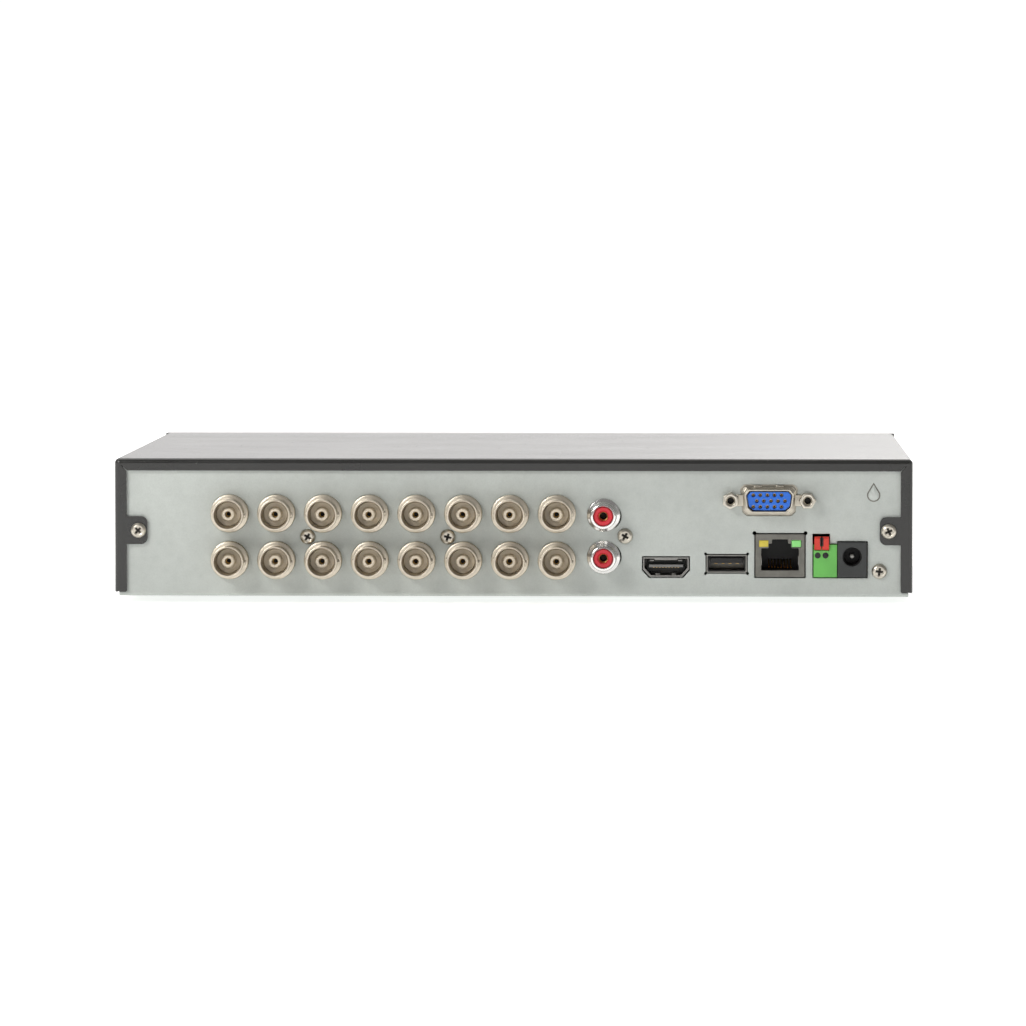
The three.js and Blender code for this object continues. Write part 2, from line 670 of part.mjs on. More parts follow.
// The cover: top, two sides and a rear flange with two screw tabs that frames the panel.
function topCover() {
  const y = [CASE_FRONT_Y, FLANGE_Y + SHEET];
  const low = onTray(COVER_LIFT);
  const outer = block([-SIDE, SIDE], y, [low, TOP]);
  const inner = block([-SIDE + SHEET, SIDE - SHEET], [y[0] - 1, FLANGE_Y], [low - 1, TOP - SHEET]);
  const rearOpening = block(
    [-SIDE + REAR_FLANGE, SIDE - REAR_FLANGE],
    [FLANGE_Y - 1, y[1] + 1],
    [low - 1, TOP - REAR_FLANGE],
  );
  const tabZ = span(COVER_SCREW_Z, TAB.height);
  const tabs = [-1, 1].map((side) => {
    const reach = [SIDE - TAB.reach, SIDE - SHEET / 2].map((x) => side * x).sort((a, b) => a - b);
    return prism("zx", roundedRectangle(tabZ, reach, TAB.radius), FLANGE_Y, y[1], 3);
  });
  const screwHoles = [-1, 1].map((side) =>
    rod("y", SCREW.shankRadius + GAP, FLANGE_Y - 1, y[1] + 1, [side * COVER_SCREW_X, COVER_SCREW_Z], 10),
  );
  const slots = range(SIDE_SLOT.count).map((i) => {
    const front = CASE_FRONT_Y + SIDE_SLOT.fromFront + i * SIDE_SLOT.pitch;
    const z = onTray(SIDE_SLOT.above);
    return block([-SIDE - 1, SIDE + 1], [front, front + SIDE_SLOT.width], [z, z + SIDE_SLOT.height]);
  });
  return cut(join(cut(outer, inner, rearOpening), tabs), screwHoles, slots);
}

// The bezel's front surface at a height: raked at the foot, upright above the brow.
function bezelFaceY(z) {
  const foot = onTray(GAP);
  const brow = onTray(BEZEL_BROW);
  return FRONT_Y + BEZEL_RAKE * Math.max(0, (brow - z) / (brow - foot));
}

function frontBezel() {
  const foot = onTray(GAP);
  const brow = onTray(BEZEL_BROW);
  const profile = (wall, back) => [
    [back, foot + wall],
    [bezelFaceY(foot) + wall, foot + wall],
    [FRONT_Y + wall, brow],
    [FRONT_Y + wall, TOP - BEZEL_TOP_CHAMFER - wall / 2],
    [FRONT_Y + BEZEL_TOP_CHAMFER + wall / 2, TOP - wall],
    [back, TOP - wall],
  ];
  const outer = prism("yz", shapeOf(profile(0, BEZEL_BACK_Y)), -SIDE, SIDE);
  const hollow = shapeOf(profile(BEZEL_WALL, BEZEL_BACK_Y + 1));
  const inner = prism("yz", hollow, -SIDE + BEZEL_WALL, SIDE - BEZEL_WALL);
  const throughFace = [FRONT_Y - 1, FRONT_Y + BEZEL_WALL + 1];
  const windowSeat = block(
    grow(WINDOW_X, GAP),
    [FRONT_Y - 1, FRONT_Y + WINDOW.thick + GAP],
    grow(WINDOW_Z, GAP),
  );
  const windowHole = block(grow(WINDOW_X, -WINDOW.ledge), throughFace, grow(WINDOW_Z, -WINDOW.ledge));
  const usbHole = block(grow(FRONT_USB_X, GAP), throughFace, grow(FRONT_USB_Z, GAP));
  const posts = grow(FRONT_BOARD_X, -FRONT_BOARD.postInset).flatMap((x) =>
    grow(FRONT_BOARD_Z, -FRONT_BOARD.postInset).map((z) =>
      rod("y", FRONT_BOARD.post, bezelFaceY(z) + BEZEL_WALL / 2 + GAP, FRONT_BOARD_Y - GAP, [x, z], 10),
    ),
  );
  // The hooks stand on ribs that run up the inside of the bezel
  const ribs = [-1, 1].map((side) =>
    block(
      span(side * (SIDE - HOOK.fromSide), HOOK.width),
      [BEZEL_BACK_Y - HOOK.thick, BEZEL_BACK_Y],
      [foot + BEZEL_WALL / 2, TOP - BEZEL_WALL / 2],
    ),
  );
  const hooks = HOOKS.map(([x, z]) =>
    block(span(x, HOOK.width), [BEZEL_BACK_Y - HOOK.thick, BEZEL_BACK_Y + HOOK.reach], [z, z + HOOK.thick]),
  );
  return join(cut(outer, inner, windowSeat, windowHole, usbHole), posts, ribs, hooks);
}

const frontWindow = () => block(WINDOW_X, [FRONT_Y, FRONT_Y + WINDOW.thick], WINDOW_Z);

const FOOT_STEM = { radius: 2, rise: 1.2 };
function foot() {
  const pad = rod("z", FOOT_RADIUS, 0, FOOT_HEIGHT, [0, 0], 20);
  return join(pad, rod("z", FOOT_STEM.radius, FOOT_HEIGHT / 2, FLOOR + FOOT_STEM.rise, [0, 0], 12));
}

// ---------------------------------------------------------------- screws

// A pan-head cross screw driven towards -Y, with its head's seat at y = 0.
function panScrew() {
  const head = turned(
    [
      [0, 0],
      [SCREW.headRadius, 0],
      [SCREW.headRadius, SCREW.headHeight / 3],
      [SCREW.headRadius * 0.72, SCREW.headHeight],
      [0, SCREW.headHeight],
    ],
    14,
  );
  const shank = rod("y", SCREW.shankRadius, -SCREW.shank, SCREW.headHeight / 3, [0, 0], 8);
  const slotY = [SCREW.headHeight - SCREW.slotDepth, SCREW.headHeight + 1];
  const reach = [-SCREW.slotReach, SCREW.slotReach];
  const width = [-SCREW.slotWidth / 2, SCREW.slotWidth / 2];
  return cut(join(head, shank), block(reach, slotY, width), block(width, slotY, reach));
}

function hexJackScrew() {
  const body = rod("y", HEX_SCREW.across / Math.sqrt(3), 0, HEX_SCREW.height, [0, 0], 6);
  const shank = rod("y", HEX_SCREW.shankRadius, -HEX_SCREW.shank, HEX_SCREW.height / 3, [0, 0], 8);
  const tapFloor = HEX_SCREW.height - HEX_SCREW.tapDepth;
  const tap = rod("y", HEX_SCREW.tapRadius, tapFloor, HEX_SCREW.height + 1, [0, 0], 10);
  return cut(join(body, shank), tap);
}

// ---------------------------------------------------------------- rear connectors

const HOUSING_FRONT = PANEL_INNER_Y - GAP;

// A camera jack: collar, bayonet barrel and inner contact in front of the panel, housing behind it.
function cameraJack(column, row) {
  const axis = [bncColumnX(column), bncRowZ(row)];
  const collarBack = GAP;
  const barrel = turned(
    [
      [0, -SHEET - 2 * GAP - 1],
      [BNC.barrelRadius, -SHEET - 2 * GAP - 1],
      [BNC.barrelRadius, collarBack],
      [BNC.collarRadius, collarBack],
      [BNC.collarRadius, BNC.collarReach],
      [BNC.barrelRadius, BNC.collarReach],
      [BNC.barrelRadius, BNC.reach],
      [BNC.boreRadius, BNC.reach],
      [BNC.boreRadius, BNC.boreFloor],
      [BNC.coreRadius, BNC.boreFloor],
      [BNC.coreRadius, BNC.coreReach],
      [0, BNC.coreReach],
    ],
    BNC.segments,
  );
  const lugY = BNC.reach - BNC.lugFromTip;
  const lugs = [
    rod("x", BNC.lugRadius, -BNC.lugReach, -BNC.boreRadius - GAP, [lugY, 0], 8),
    rod("x", BNC.lugRadius, BNC.boreRadius + GAP, BNC.lugReach, [lugY, 0], 8),
  ];
  const bottom = row === 0 ? SOCKET_BASE : bncRowZ(0.5) + GAP / 2;
  const top = row === 0 ? bncRowZ(0.5) - GAP / 2 : axis[1] + BNC.housingCrown;
  const housing = block(
    span(axis[0], BNC.pitch - GAP),
    [HOUSING_FRONT - BNC.housingDepth, HOUSING_FRONT],
    [bottom, top],
  );
  const front = shift(join(barrel, lugs), axis[0], PANEL_Y, axis[1]);
  return join(front, cut(housing, panelScrewHoles()));
}

function panelScrewHoles() {
  return PANEL_SCREWS.map((place) =>
    rod("y", SCREW.shankRadius + GAP, PANEL_Y - SCREW.shank - GAP, PANEL_Y, place, 8),
  );
}

// An audio jack's metal shell with the housing behind it, bored for the insert.
function audioJack(row) {
  const axis = [RCA_X, rcaRowZ(row)];
  const flange = rod("y", RCA.flangeRadius, GAP, GAP + RCA.flange, [0, 0], RCA.segments);
  const barrel = rod("y", RCA.barrelRadius, -SHEET - 2 * GAP - 1, RCA.reach, [0, 0], RCA.segments);
  const front = shift(join(flange, barrel), axis[0], PANEL_Y, axis[1]);
  const bottom = row === 0 ? SOCKET_BASE : rcaRowZ(0.5) + GAP / 2;
  const top = row === 0 ? rcaRowZ(0.5) - GAP / 2 : axis[1] + RCA.crown;
  const housing = block(
    [axis[0] - RCA.housingSide, axis[0] + RCA.gap - BNC.pitch / 2 - GAP],
    [HOUSING_FRONT - RCA.housingDepth, HOUSING_FRONT],
    [bottom, top],
  );
  const bore = rod(
    "y",
    RCA_INSERT.radius + GAP,
    PANEL_Y - RCA_INSERT.tail - GAP,
    PANEL_Y + RCA.reach + 1,
    axis,
    RCA.segments,
  );
  return cut(join(front, cut(housing, panelScrewHoles())), bore);
}

function audioInsert(row) {
  const axis = [RCA_X, rcaRowZ(row)];
  const tip = PANEL_Y + RCA.reach - RCA_INSERT.recess;
  const plug = rod("y", RCA_INSERT.radius, PANEL_Y - RCA_INSERT.tail, tip, axis, RCA.segments);
  return cut(plug, rod("y", RCA_INSERT.hole, tip - RCA_INSERT.holeDepth, tip + 1, axis, 10));
}

// A rectangular metal shell open towards "front", with a contact tongue standing from its back wall.
function usbSocket(x, z, mouthY, backY) {
  const inward = Math.sign(backY - mouthY);
  const ordered = (a, b) => (a < b ? [a, b] : [b, a]);
  const shell = block(x, ordered(mouthY, backY), z);
  const cavity = block(
    grow(x, -USB.wall),
    ordered(mouthY - inward, backY - inward * USB.floor),
    grow(z, -USB.wall),
  );
  const top = z[1] - USB.wall - USB.tongueDrop;
  const tongueX = span((x[0] + x[1]) / 2, USB.tongueWidth);
  const tongueY = ordered(mouthY + inward, backY - (inward * USB.floor) / 2);
  const tongue = block(tongueX, tongueY, [top - USB.tongue, top]);
  return join(cut(shell, cavity), tongue);
}

// The display socket: wide at the top, with chamfers down to a narrower foot.
function hdmiSocket() {
  const backY = PANEL_Y - HDMI.depth;
  const shell = panelPrism(hdmiOutline(0), backY, PANEL_Y);
  const cavity = panelPrism(hdmiOutline(HDMI.wall), backY + 1, PANEL_Y + 1);
  const tongueZ = span(SOCKET_BASE + HDMI.height * 0.56, HDMI.tongue);
  const tongue = block(span(HDMI_MIDDLE, HDMI.tongueWidth), [backY + HDMI.wall, PANEL_Y - 1], tongueZ);
  return join(cut(shell, cavity), tongue);
}

function networkSocket() {
  const middle = (NETWORK_X[0] + NETWORK_X[1]) / 2;
  const face = PANEL_Y + NETWORK.proud;
  const body = block(NETWORK_X, [face - NETWORK.depth, face], NETWORK_Z);
  const plugZ = SOCKET_BASE + NETWORK.plugAbove;
  const keyZ = plugZ + NETWORK.plugHeight;
  const deep = [face - NETWORK.plugDepth, face + 1];
  const plug = block(span(middle, NETWORK.plugWidth), deep, [plugZ, keyZ]);
  const key = block(span(middle, NETWORK.keyWidth), deep, [keyZ - 1, keyZ + NETWORK.keyHeight]);
  return cut(body, plug, key);
}

function terminalBlock() {
  const front = TERMINAL_FRONT;
  const wireZ = SOCKET_BASE + TERMINAL.wireAbove;
  const slotFloor = TERMINAL_TOP - TERMINAL.slotDepth;
  const body = block(TERMINAL_X, [front - TERMINAL.depth, front], [SOCKET_BASE, TERMINAL_TOP]);
  const tools = [0, 1].flatMap((i) => {
    const slotX = grow(span(wireX(i), LEVER_WIDTH), 0.1);
    return [
      rod("y", TERMINAL.wireRadius, front - TERMINAL.depth / 2, front + 1, [wireX(i), wireZ], 8),
      block(slotX, [front - TERMINAL.slotLength, front - TERMINAL.lip], [slotFloor, TERMINAL_TOP + 1]),
      block(slotX, [front - 2 * TERMINAL.lip, front + 1], [TERMINAL_TOP - TERMINAL.lipDrop, TERMINAL_TOP + 1]),
    ];
  });
  return cut(body, tools);
}

function terminalLever(i) {
  const outline = LEVER_OUTLINE.map(([y, z]) => [TERMINAL_FRONT + y, TERMINAL_TOP + z]);
  return prism("yz", shapeOf(outline), wireX(i) - LEVER_WIDTH / 2, wireX(i) + LEVER_WIDTH / 2);
}

function powerJack() {
  const face = PANEL_Y + POWER_JACK.proud;
  const axis = [(POWER_JACK_X[0] + POWER_JACK_X[1]) / 2, SOCKET_BASE + POWER_JACK.holeAbove];
  const levels = [SOCKET_BASE, SOCKET_BASE + POWER_JACK.height];
  const body = block(POWER_JACK_X, [face - POWER_JACK.depth, face], levels);
  const hole = rod("y", POWER_JACK.holeRadius, face - POWER_JACK.holeDepth, face + 1, axis, 16);
  const pin = rod("y", POWER_JACK.pinRadius, face - POWER_JACK.holeDepth - 1, face - 1, axis, 8);
  return join(cut(body, hole), pin);
}

// The D of the monitor socket at an inset from its metal outline.
function dOutline(inset) {
  const w = VGA.width / 2 - inset;
  const h = VGA.height / 2 - inset;
  const c = VGA.corner;
  const lean = (z) => (VGA.taper * (VGA_Z + h - z)) / VGA.height;
  const at = (side, z, cutBack) => [VGA_X + side * (w - cutBack - lean(z)), z];
  const right = [at(1, VGA_Z - h, c), at(1, VGA_Z - h + c, 0), at(1, VGA_Z + h - c, 0), at(1, VGA_Z + h, c)];
  const left = [at(-1, VGA_Z + h, c), at(-1, VGA_Z + h - c, 0), at(-1, VGA_Z - h + c, 0), at(-1, VGA_Z - h, c)];
  return [...right, ...left];
}

function vgaShell() {
  const [back, front] = VGA_FLANGE_Y;
  const flange = block(span(VGA_X, VGA.flangeWidth), VGA_FLANGE_Y, span(VGA_Z, VGA.flangeHeight));
  const body = block(
    span(VGA_X, VGA.bodyWidth),
    [back - VGA.bodyDepth, back + VGA.flange / 2],
    span(VGA_Z, VGA.bodyHeight),
  );
  const skirt = panelPrism(dOutline(-VGA.skirt), back, PANEL_Y + VGA.skirtReach);
  const collar = panelPrism(dOutline(0), back, PANEL_Y + VGA.reach);
  const bore = panelPrism(dOutline(VGA.wall), PANEL_Y, PANEL_Y + VGA.reach + 1);
  const screwHoles = [-1, 1].map((side) =>
    rod("y", HEX_SCREW.shankRadius + GAP, back - 1, front + 1, [VGA_X + (side * VGA.screwPitch) / 2, VGA_Z], 8),
  );
  return cut(join(flange, body, skirt, collar), bore, screwHoles);
}

const vgaInsert = () =>
  panelPrism(dOutline(VGA.wall + GAP), PANEL_Y + GAP, PANEL_Y + VGA.reach - VGA.insertRecess);

// ---------------------------------------------------------------- boards

function mainBoard() {
  const board = block(BOARD_X, [BOARD_FRONT_Y, BOARD_BACK_Y], [BOARD_BOTTOM, BOARD_TOP]);
  const holes = BOARD_HOLES.map((place) =>
    rod("z", BOARD.holeRadius, BOARD_BOTTOM - 1, BOARD_TOP + 1, place, 10),
  );
  return cut(board, holes);
}

const processor = () =>
  block(span(CHIP_CENTRE[0], CHIP.size), span(CHIP_CENTRE[1], CHIP.size), [BOARD_TOP, CHIP_TOP]);

function heatSink() {
  const [x, y] = [span(CHIP_CENTRE[0], HEAT_SINK.size), span(CHIP_CENTRE[1], HEAT_SINK.size)];
  const base = block(x, y, [CHIP_TOP, CHIP_TOP + HEAT_SINK.base]);
  const step = (HEAT_SINK.size - HEAT_SINK.finThick) / (HEAT_SINK.fins - 1);
  const fins = range(HEAT_SINK.fins).map((i) =>
    block(
      [x[0] + i * step, x[0] + i * step + HEAT_SINK.finThick],
      y,
      [CHIP_TOP + HEAT_SINK.base / 2, CHIP_TOP + HEAT_SINK.height],
    ),
  );
  return join(base, fins);
}

const coinCell = () =>
  rod("z", COIN_CELL.radius, BOARD_TOP + COIN_CELL.raise, BOARD_TOP + COIN_CELL.raise + COIN_CELL.thick, [
    COIN_CELL.x,
    BOARD_FRONT_Y + COIN_CELL.fromFront,
  ]);

const frontBoard = () =>
  block(FRONT_BOARD_X, [FRONT_BOARD_Y, FRONT_BOARD_Y + BOARD.thick], FRONT_BOARD_Z);

// ---------------------------------------------------------------- hard drive

const DISC_Z = [0, 1].map((i) => DRIVE_CAVITY_FLOOR + PLATTER.raise + i * PLATTER.spacing);
const ARM_Z = (DISC_Z[0] + PLATTER.thick + DISC_Z[1]) / 2;

function driveBase() {
  const outline = roundedRectangle(DRIVE_X, DRIVE_Y, DRIVE.corner);
  const body = prism("xy", outline, DRIVE_BOTTOM, DRIVE_LID_BOTTOM, 3);
  const cavityZ = [DRIVE_CAVITY_FLOOR, DRIVE_LID_BOTTOM + 1];
  const discBay = rod("z", PLATTER.radius + PLATTER.clearance, ...cavityZ, SPINDLE, 32);
  const armBay = block(
    [SPINDLE[0] + ARM_BAY_FROM_SPINDLE, DRIVE_X[1] - DRIVE.wall],
    grow(DRIVE_Y, -DRIVE.wall),
    cavityZ,
  );
  const seats = [DATA_LEAD, POWER_LEAD].map((one) =>
    block(
      [DRIVE_X[1] - LEAD_PLUG.seat - GAP, DRIVE_X[1] + 1],
      grow(span(DRIVE_Y[0] + one.fromDriveEdge, one.plugWidth), GAP),
      grow(span(LEAD_Z, LEAD_PLUG.height), GAP),
    ),
  );
  return cut(body, discBay, armBay, seats);
}

function driveLid() {
  const outline = roundedRectangle(DRIVE_X, DRIVE_Y, DRIVE.corner);
  return prism("xy", outline, DRIVE_LID_BOTTOM, DRIVE_LID_BOTTOM + DRIVE.lid, 3);
}

function drivePlatters() {
  const hubZ = DRIVE_CAVITY_FLOOR + GAP;
  const hub = rod("z", PLATTER.hubRadius, hubZ, hubZ + PLATTER.hubHeight, SPINDLE, 16);
  const discs = DISC_Z.map((z) => rod("z", PLATTER.radius, z, z + PLATTER.thick, SPINDLE, 32));
  return join(hub, discs);
}

// The arm's direction when parked: its tip just clear of the discs, on the side away from the panel.
function parkedAngle() {
  const toSpindle = Math.hypot(ARM.pivotAlong, ARM.pivotAside);
  const parked = PLATTER.radius + ARM.tipWidth / 2 + ARM.parkClearance;
  const between = Math.acos((toSpindle ** 2 + ARM.length ** 2 - parked ** 2) / (2 * toSpindle * ARM.length));
  return Math.PI + Math.atan2(ARM.pivotAside, ARM.pivotAlong) + between;
}

function driveArm() {
  const bladeZ = [ARM_Z - ARM.blade / 2, ARM_Z + ARM.blade / 2];
  const blade = [
    [0, -ARM.rootWidth / 2],
    [ARM.length, -ARM.tipWidth / 2],
    [ARM.length, ARM.tipWidth / 2],
    [0, ARM.rootWidth / 2],
  ];
  const tail = [
    [0, ARM.rootWidth / 2],
    [-ARM.tail, ARM.tailWidth / 2],
    [-ARM.tail, -ARM.tailWidth / 2],
    [0, -ARM.rootWidth / 2],
  ];
  const hubZ = DRIVE_CAVITY_FLOOR + GAP;
  const arm = join(
    rod("z", ARM.pivotRadius, hubZ, hubZ + PLATTER.hubHeight, [0, 0], 16),
    prism("xy", shapeOf(blade), ...bladeZ),
    prism("xy", shapeOf(tail), ARM_Z - ARM.tailThick / 2, ARM_Z + ARM.tailThick / 2),
  );
  return shift(arm.rotate([0, 0, (parkedAngle() * 180) / Math.PI]), ...ARM_PIVOT, 0);
}

// ---------------------------------------------------------------- fan, along X with its outlet at +X

function fanFrame() {
  const [y, z] = [FAN_CENTRE_Y, FAN_CENTRE_Z];
  const frame = block(FAN_X, span(y, FAN.size), span(z, FAN.size));
  const bore = rod("x", FAN.boreRadius, FAN_X[0] - 1, FAN_X[1] + 1, [y, z], 24);
  const through = [FAN_X[0] - 1, FAN_X[1] + 1];
  const screws = FAN_SCREWS.map((place) => rod("x", SCREW.shankRadius + GAP, ...through, place, 8));
  const plateX = [FAN_X[1] - FAN.motorPlate, FAN_X[1]];
  const reach = [-FAN.size / 2 + 1, FAN.size / 2 - 1];
  const thin = [-FAN.strutWidth / 2, FAN.strutWidth / 2];
  const struts = [
    block(plateX, reach.map((a) => y + a), thin.map((a) => z + a)),
    block(plateX, thin.map((a) => y + a), reach.map((a) => z + a)),
  ];
  const hub = rod("x", FAN.hubRadius, ...plateX, [y, z], 16);
  return join(cut(frame, bore, screws), struts, hub);
}

function fanRotor() {
  const length = FAN.thick - FAN.motorPlate - 2 * GAP;
  const hub = rod("x", FAN.hubRadius, 0, length, [0, 0], 16);
  const blades = around(FAN_BLADE.count).map((angle) => {
    const root = FAN.hubRadius - 1;
    const blade = new THREE.BoxGeometry(FAN_BLADE.chord, FAN_BLADE.thick, FAN_BLADE.reach - root);
    blade.rotateZ(FAN_BLADE.pitchAngle).translate(length / 2, 0, (root + FAN_BLADE.reach) / 2);
    return solidOf(blade.rotateX(angle));
  });
  return shift(join(hub, blades), FAN_X[0] + GAP, FAN_CENTRE_Y, FAN_CENTRE_Z);
}

// ---------------------------------------------------------------- inner leads

// A flat lead from the drive's end: out along +X, round a bend, and back along +Y onto the board.
function driveLead(one) {
  const y = DRIVE_Y[0] + one.fromDriveEdge;
  const plugX = [DRIVE_X[1] - LEAD_PLUG.seat, DRIVE_X[1] - LEAD_PLUG.seat + LEAD_PLUG.length];
  const turnX = DRIVE_X[1] + LEAD_PLUG.length - LEAD_PLUG.seat + one.run;
  const headerY = [BOARD_FRONT_Y + LEAD_ONTO_BOARD, BOARD_FRONT_Y + LEAD_ONTO_BOARD + one.header];
  const path = new THREE.CurvePath();
  const corner = [turnX - LEAD_BEND, turnX].map((x) => new THREE.Vector3(x, y, LEAD_Z));
  const bendEnd = new THREE.Vector3(turnX, y + LEAD_BEND, LEAD_Z);
  path.add(new THREE.LineCurve3(new THREE.Vector3(plugX[1] - 1, y, LEAD_Z), corner[0]));
  path.add(new THREE.QuadraticBezierCurve3(corner[0], corner[1], bendEnd));
  path.add(new THREE.LineCurve3(bendEnd, new THREE.Vector3(turnX, headerY[0] + 1, LEAD_Z)));
  const plugZ = span(LEAD_Z, LEAD_PLUG.height);
  return join(
    lead(path, one.thick, one.width, 36),
    block(plugX, span(y, one.plugWidth), plugZ),
    block(span(turnX, one.plugWidth), headerY, plugZ),
  );
}

// The ribbon from the front board, through the tray's front wall, down and up again onto the main board.
function frontRibbon() {
  const startY = FRONT_BOARD_Y + BOARD.thick;
  const headerZ = onTray(RIBBON.headerAbove);
  const dipZ = FLOOR + RIBBON.dip;
  const endY = BOARD_FRONT_Y + LEAD_ONTO_BOARD;
  const points = [
    [startY, headerZ],
    [TRAY_FRONT_INNER + 6, headerZ],
    [TRAY_FRONT_INNER + 26, dipZ],
    [BOARD_FRONT_Y - 22, dipZ],
    [BOARD_FRONT_Y - 6, LEAD_Z],
    [endY + 1, LEAD_Z],
  ].map(([y, z]) => new THREE.Vector3(RIBBON_X, y, z));
  const width = RIBBON.width;
  return join(
    lead(new THREE.CatmullRomCurve3(points, false, "centripetal"), width, RIBBON.thick, 30),
    block(span(RIBBON_X, width + 3), [endY, endY + 6], span(LEAD_Z, LEAD_PLUG.height)),
  );
}

// ---------------------------------------------------------------- the recorder

const housing = group(
  node("chassis_tray", chassisTray(), "zincSteel"),
  node("front_bezel", frontBezel(), "glossPlastic"),
  node("front_window", frontWindow(), "smokedWindow"),
  FOOT_PLACES.map(([x, y], i) => node(`foot_${i + 1}`, foot(), "rubber", [x, y, 0])),
);

const cover = group(
  node("top_cover", topCover(), "blackPaint"),
  ["left", "right"].map((side, i) => {
    const x = i === 0 ? COVER_SCREW_X : -COVER_SCREW_X;
    return node(`cover_screw_${side}`, panScrew(), "nickel", [x, FLANGE_Y + SHEET, COVER_SCREW_Z]);
  }),
);

const jacks = group(
  [1, 0].flatMap((row) =>
    range(BNC.columns).map((i) => {
      const number = (1 - row) * BNC.columns + i + 1;
      return node(`camera_jack_${number}`, cameraJack(i, row), "nickel");
    }),
  ),
  [1, 0].flatMap((row) => {
    const name = row === 1 ? "upper" : "lower";
    return [
      node(`audio_jack_${name}`, audioJack(row), "chrome"),
      node(`audio_insert_${name}`, audioInsert(row), "redPlastic"),
    ];
  }),
  PANEL_SCREWS.map(([x, z], i) => node(`panel_screw_${i + 1}`, panScrew(), "nickel", [x, PANEL_Y, z])),
  node("ground_screw", panScrew(), "nickel", [GROUND_SCREW_PLACE[0], PANEL_Y, GROUND_SCREW_PLACE[1]]),
);

const sockets = group(
  node("hdmi_socket", hdmiSocket(), "blackPlastic"),
  node("rear_usb_socket", usbSocket(USB_X, USB_Z, PANEL_Y, PANEL_Y - USB.depth), "nickel"),
  node("network_socket", networkSocket(), "nickel"),
  node("terminal_block", terminalBlock(), "greenPlastic"),
  [0, 1].map((i) => node(`terminal_lever_${i + 1}`, terminalLever(i), "leverRed")),
  node("power_jack", powerJack(), "blackPlastic"),
  node("vga_shell", vgaShell(), "nickel"),
  node("vga_insert", vgaInsert(), "bluePlastic"),
  [-1, 1].map((side, i) => {
    const place = [VGA_X + (side * VGA.screwPitch) / 2, PANEL_Y, VGA_Z];
    return node(`vga_jackscrew_${i + 1}`, hexJackScrew(), "nickel", place);
  }),
);

const boards = group(
  node("main_board", mainBoard(), "boardGreen"),
  node("processor", processor(), "blackPlastic"),
  node("heat_sink", heatSink(), "aluminium"),
  node("coin_cell", coinCell(), "nickel"),
  node("front_board", frontBoard(), "boardGreen"),
  node(
    "front_usb_socket",
    usbSocket(FRONT_USB_X, FRONT_USB_Z, FRONT_Y + GAP, FRONT_BOARD_Y - GAP),
    "nickel",
  ),
);

const drive = group(
  node("drive_base", driveBase(), "castAluminium"),
  node("drive_lid", driveLid(), "aluminium"),
  node("drive_platters", drivePlatters(), "mirrorDisc"),
  node("drive_arm", driveArm(), "aluminium"),
);

const fan = group(
  node("fan_frame", fanFrame(), "blackPlastic"),
  node("fan_rotor", fanRotor(), "blackPlastic"),
);

const leads = group(
  node("drive_data_lead", driveLead(DATA_LEAD), "leadRed"),
  node("drive_power_lead", driveLead(POWER_LEAD), "leadBlack"),
  node("front_ribbon", frontRibbon(), "ribbonGrey"),
);

export default group(housing, cover, jacks, sockets, boards, drive, fan, leads);
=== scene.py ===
"""Looks of a slim digital video recorder, built as an add-on around its packed mechanical frame."""
import math
import random
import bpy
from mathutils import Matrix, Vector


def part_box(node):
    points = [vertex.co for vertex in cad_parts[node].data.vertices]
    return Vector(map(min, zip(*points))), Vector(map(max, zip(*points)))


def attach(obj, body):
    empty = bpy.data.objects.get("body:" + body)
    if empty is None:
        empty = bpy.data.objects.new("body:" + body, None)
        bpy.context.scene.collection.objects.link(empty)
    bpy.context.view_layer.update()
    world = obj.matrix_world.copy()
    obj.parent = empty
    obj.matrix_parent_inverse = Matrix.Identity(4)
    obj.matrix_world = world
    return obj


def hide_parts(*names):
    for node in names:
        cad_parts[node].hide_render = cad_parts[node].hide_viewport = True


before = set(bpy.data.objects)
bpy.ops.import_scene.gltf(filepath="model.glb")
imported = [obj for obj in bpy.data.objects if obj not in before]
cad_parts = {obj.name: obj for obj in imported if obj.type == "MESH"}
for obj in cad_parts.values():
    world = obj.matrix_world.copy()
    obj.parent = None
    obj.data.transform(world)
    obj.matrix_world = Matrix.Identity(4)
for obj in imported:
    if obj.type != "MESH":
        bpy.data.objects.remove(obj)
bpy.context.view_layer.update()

from types import SimpleNamespace

import bmesh
import bpy
from mathutils import Matrix, Vector

bl_info = {
    "name": "Digital video recorder",
    "version": (1, 0, 0),
    "blender": (4, 5, 0),
    "location": "View3D > Sidebar > Recorder",
    "description": "Builds the visible pieces of a slim sixteen-input video recorder",
    "category": "Object",
}

MM = 0.001


def cad(node):
    """Lowest and highest corner of a CAD node, in millimetres."""
    low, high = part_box(node)
    return low / MM, high / MM


def middle(node):
    """Centre of a CAD node, in millimetres."""
    low, high = cad(node)
    return (low + high) / 2


# Planes and levels of the frame, in millimetres
PANEL_Y = cad("hdmi_socket")[1].y
COVER_LOW, COVER_HIGH = cad("top_cover")
TRAY_LOW, TRAY_HIGH = cad("chassis_tray")
BOARD_LOW, BOARD_HIGH = cad("main_board")
SHEET = 1.0
COLLAR_IN_JACK = 6.2  # from a camera jack's outer edge to its axis
JACKS = [f"camera_jack_{i}" for i in range(1, 17)]
CASE_SCREWS = ["panel_screw_1", "panel_screw_2", "panel_screw_3", "ground_screw"]
COVER_SCREWS = ["cover_screw_left", "cover_screw_right"]
FEET = [f"foot_{i}" for i in range(1, 5)]
AUDIO_JACKS = ["audio_jack_upper", "audio_jack_lower"]
AUDIO_INSERTS = ["audio_insert_upper", "audio_insert_lower"]


# ------------------------------------------------------------------ properties


def length(name, description, millimetres):
    """A size in the panel, given here in millimetres."""
    return bpy.props.FloatProperty(
        name=name, description=description, default=millimetres * MM, unit="LENGTH", precision=5
    )


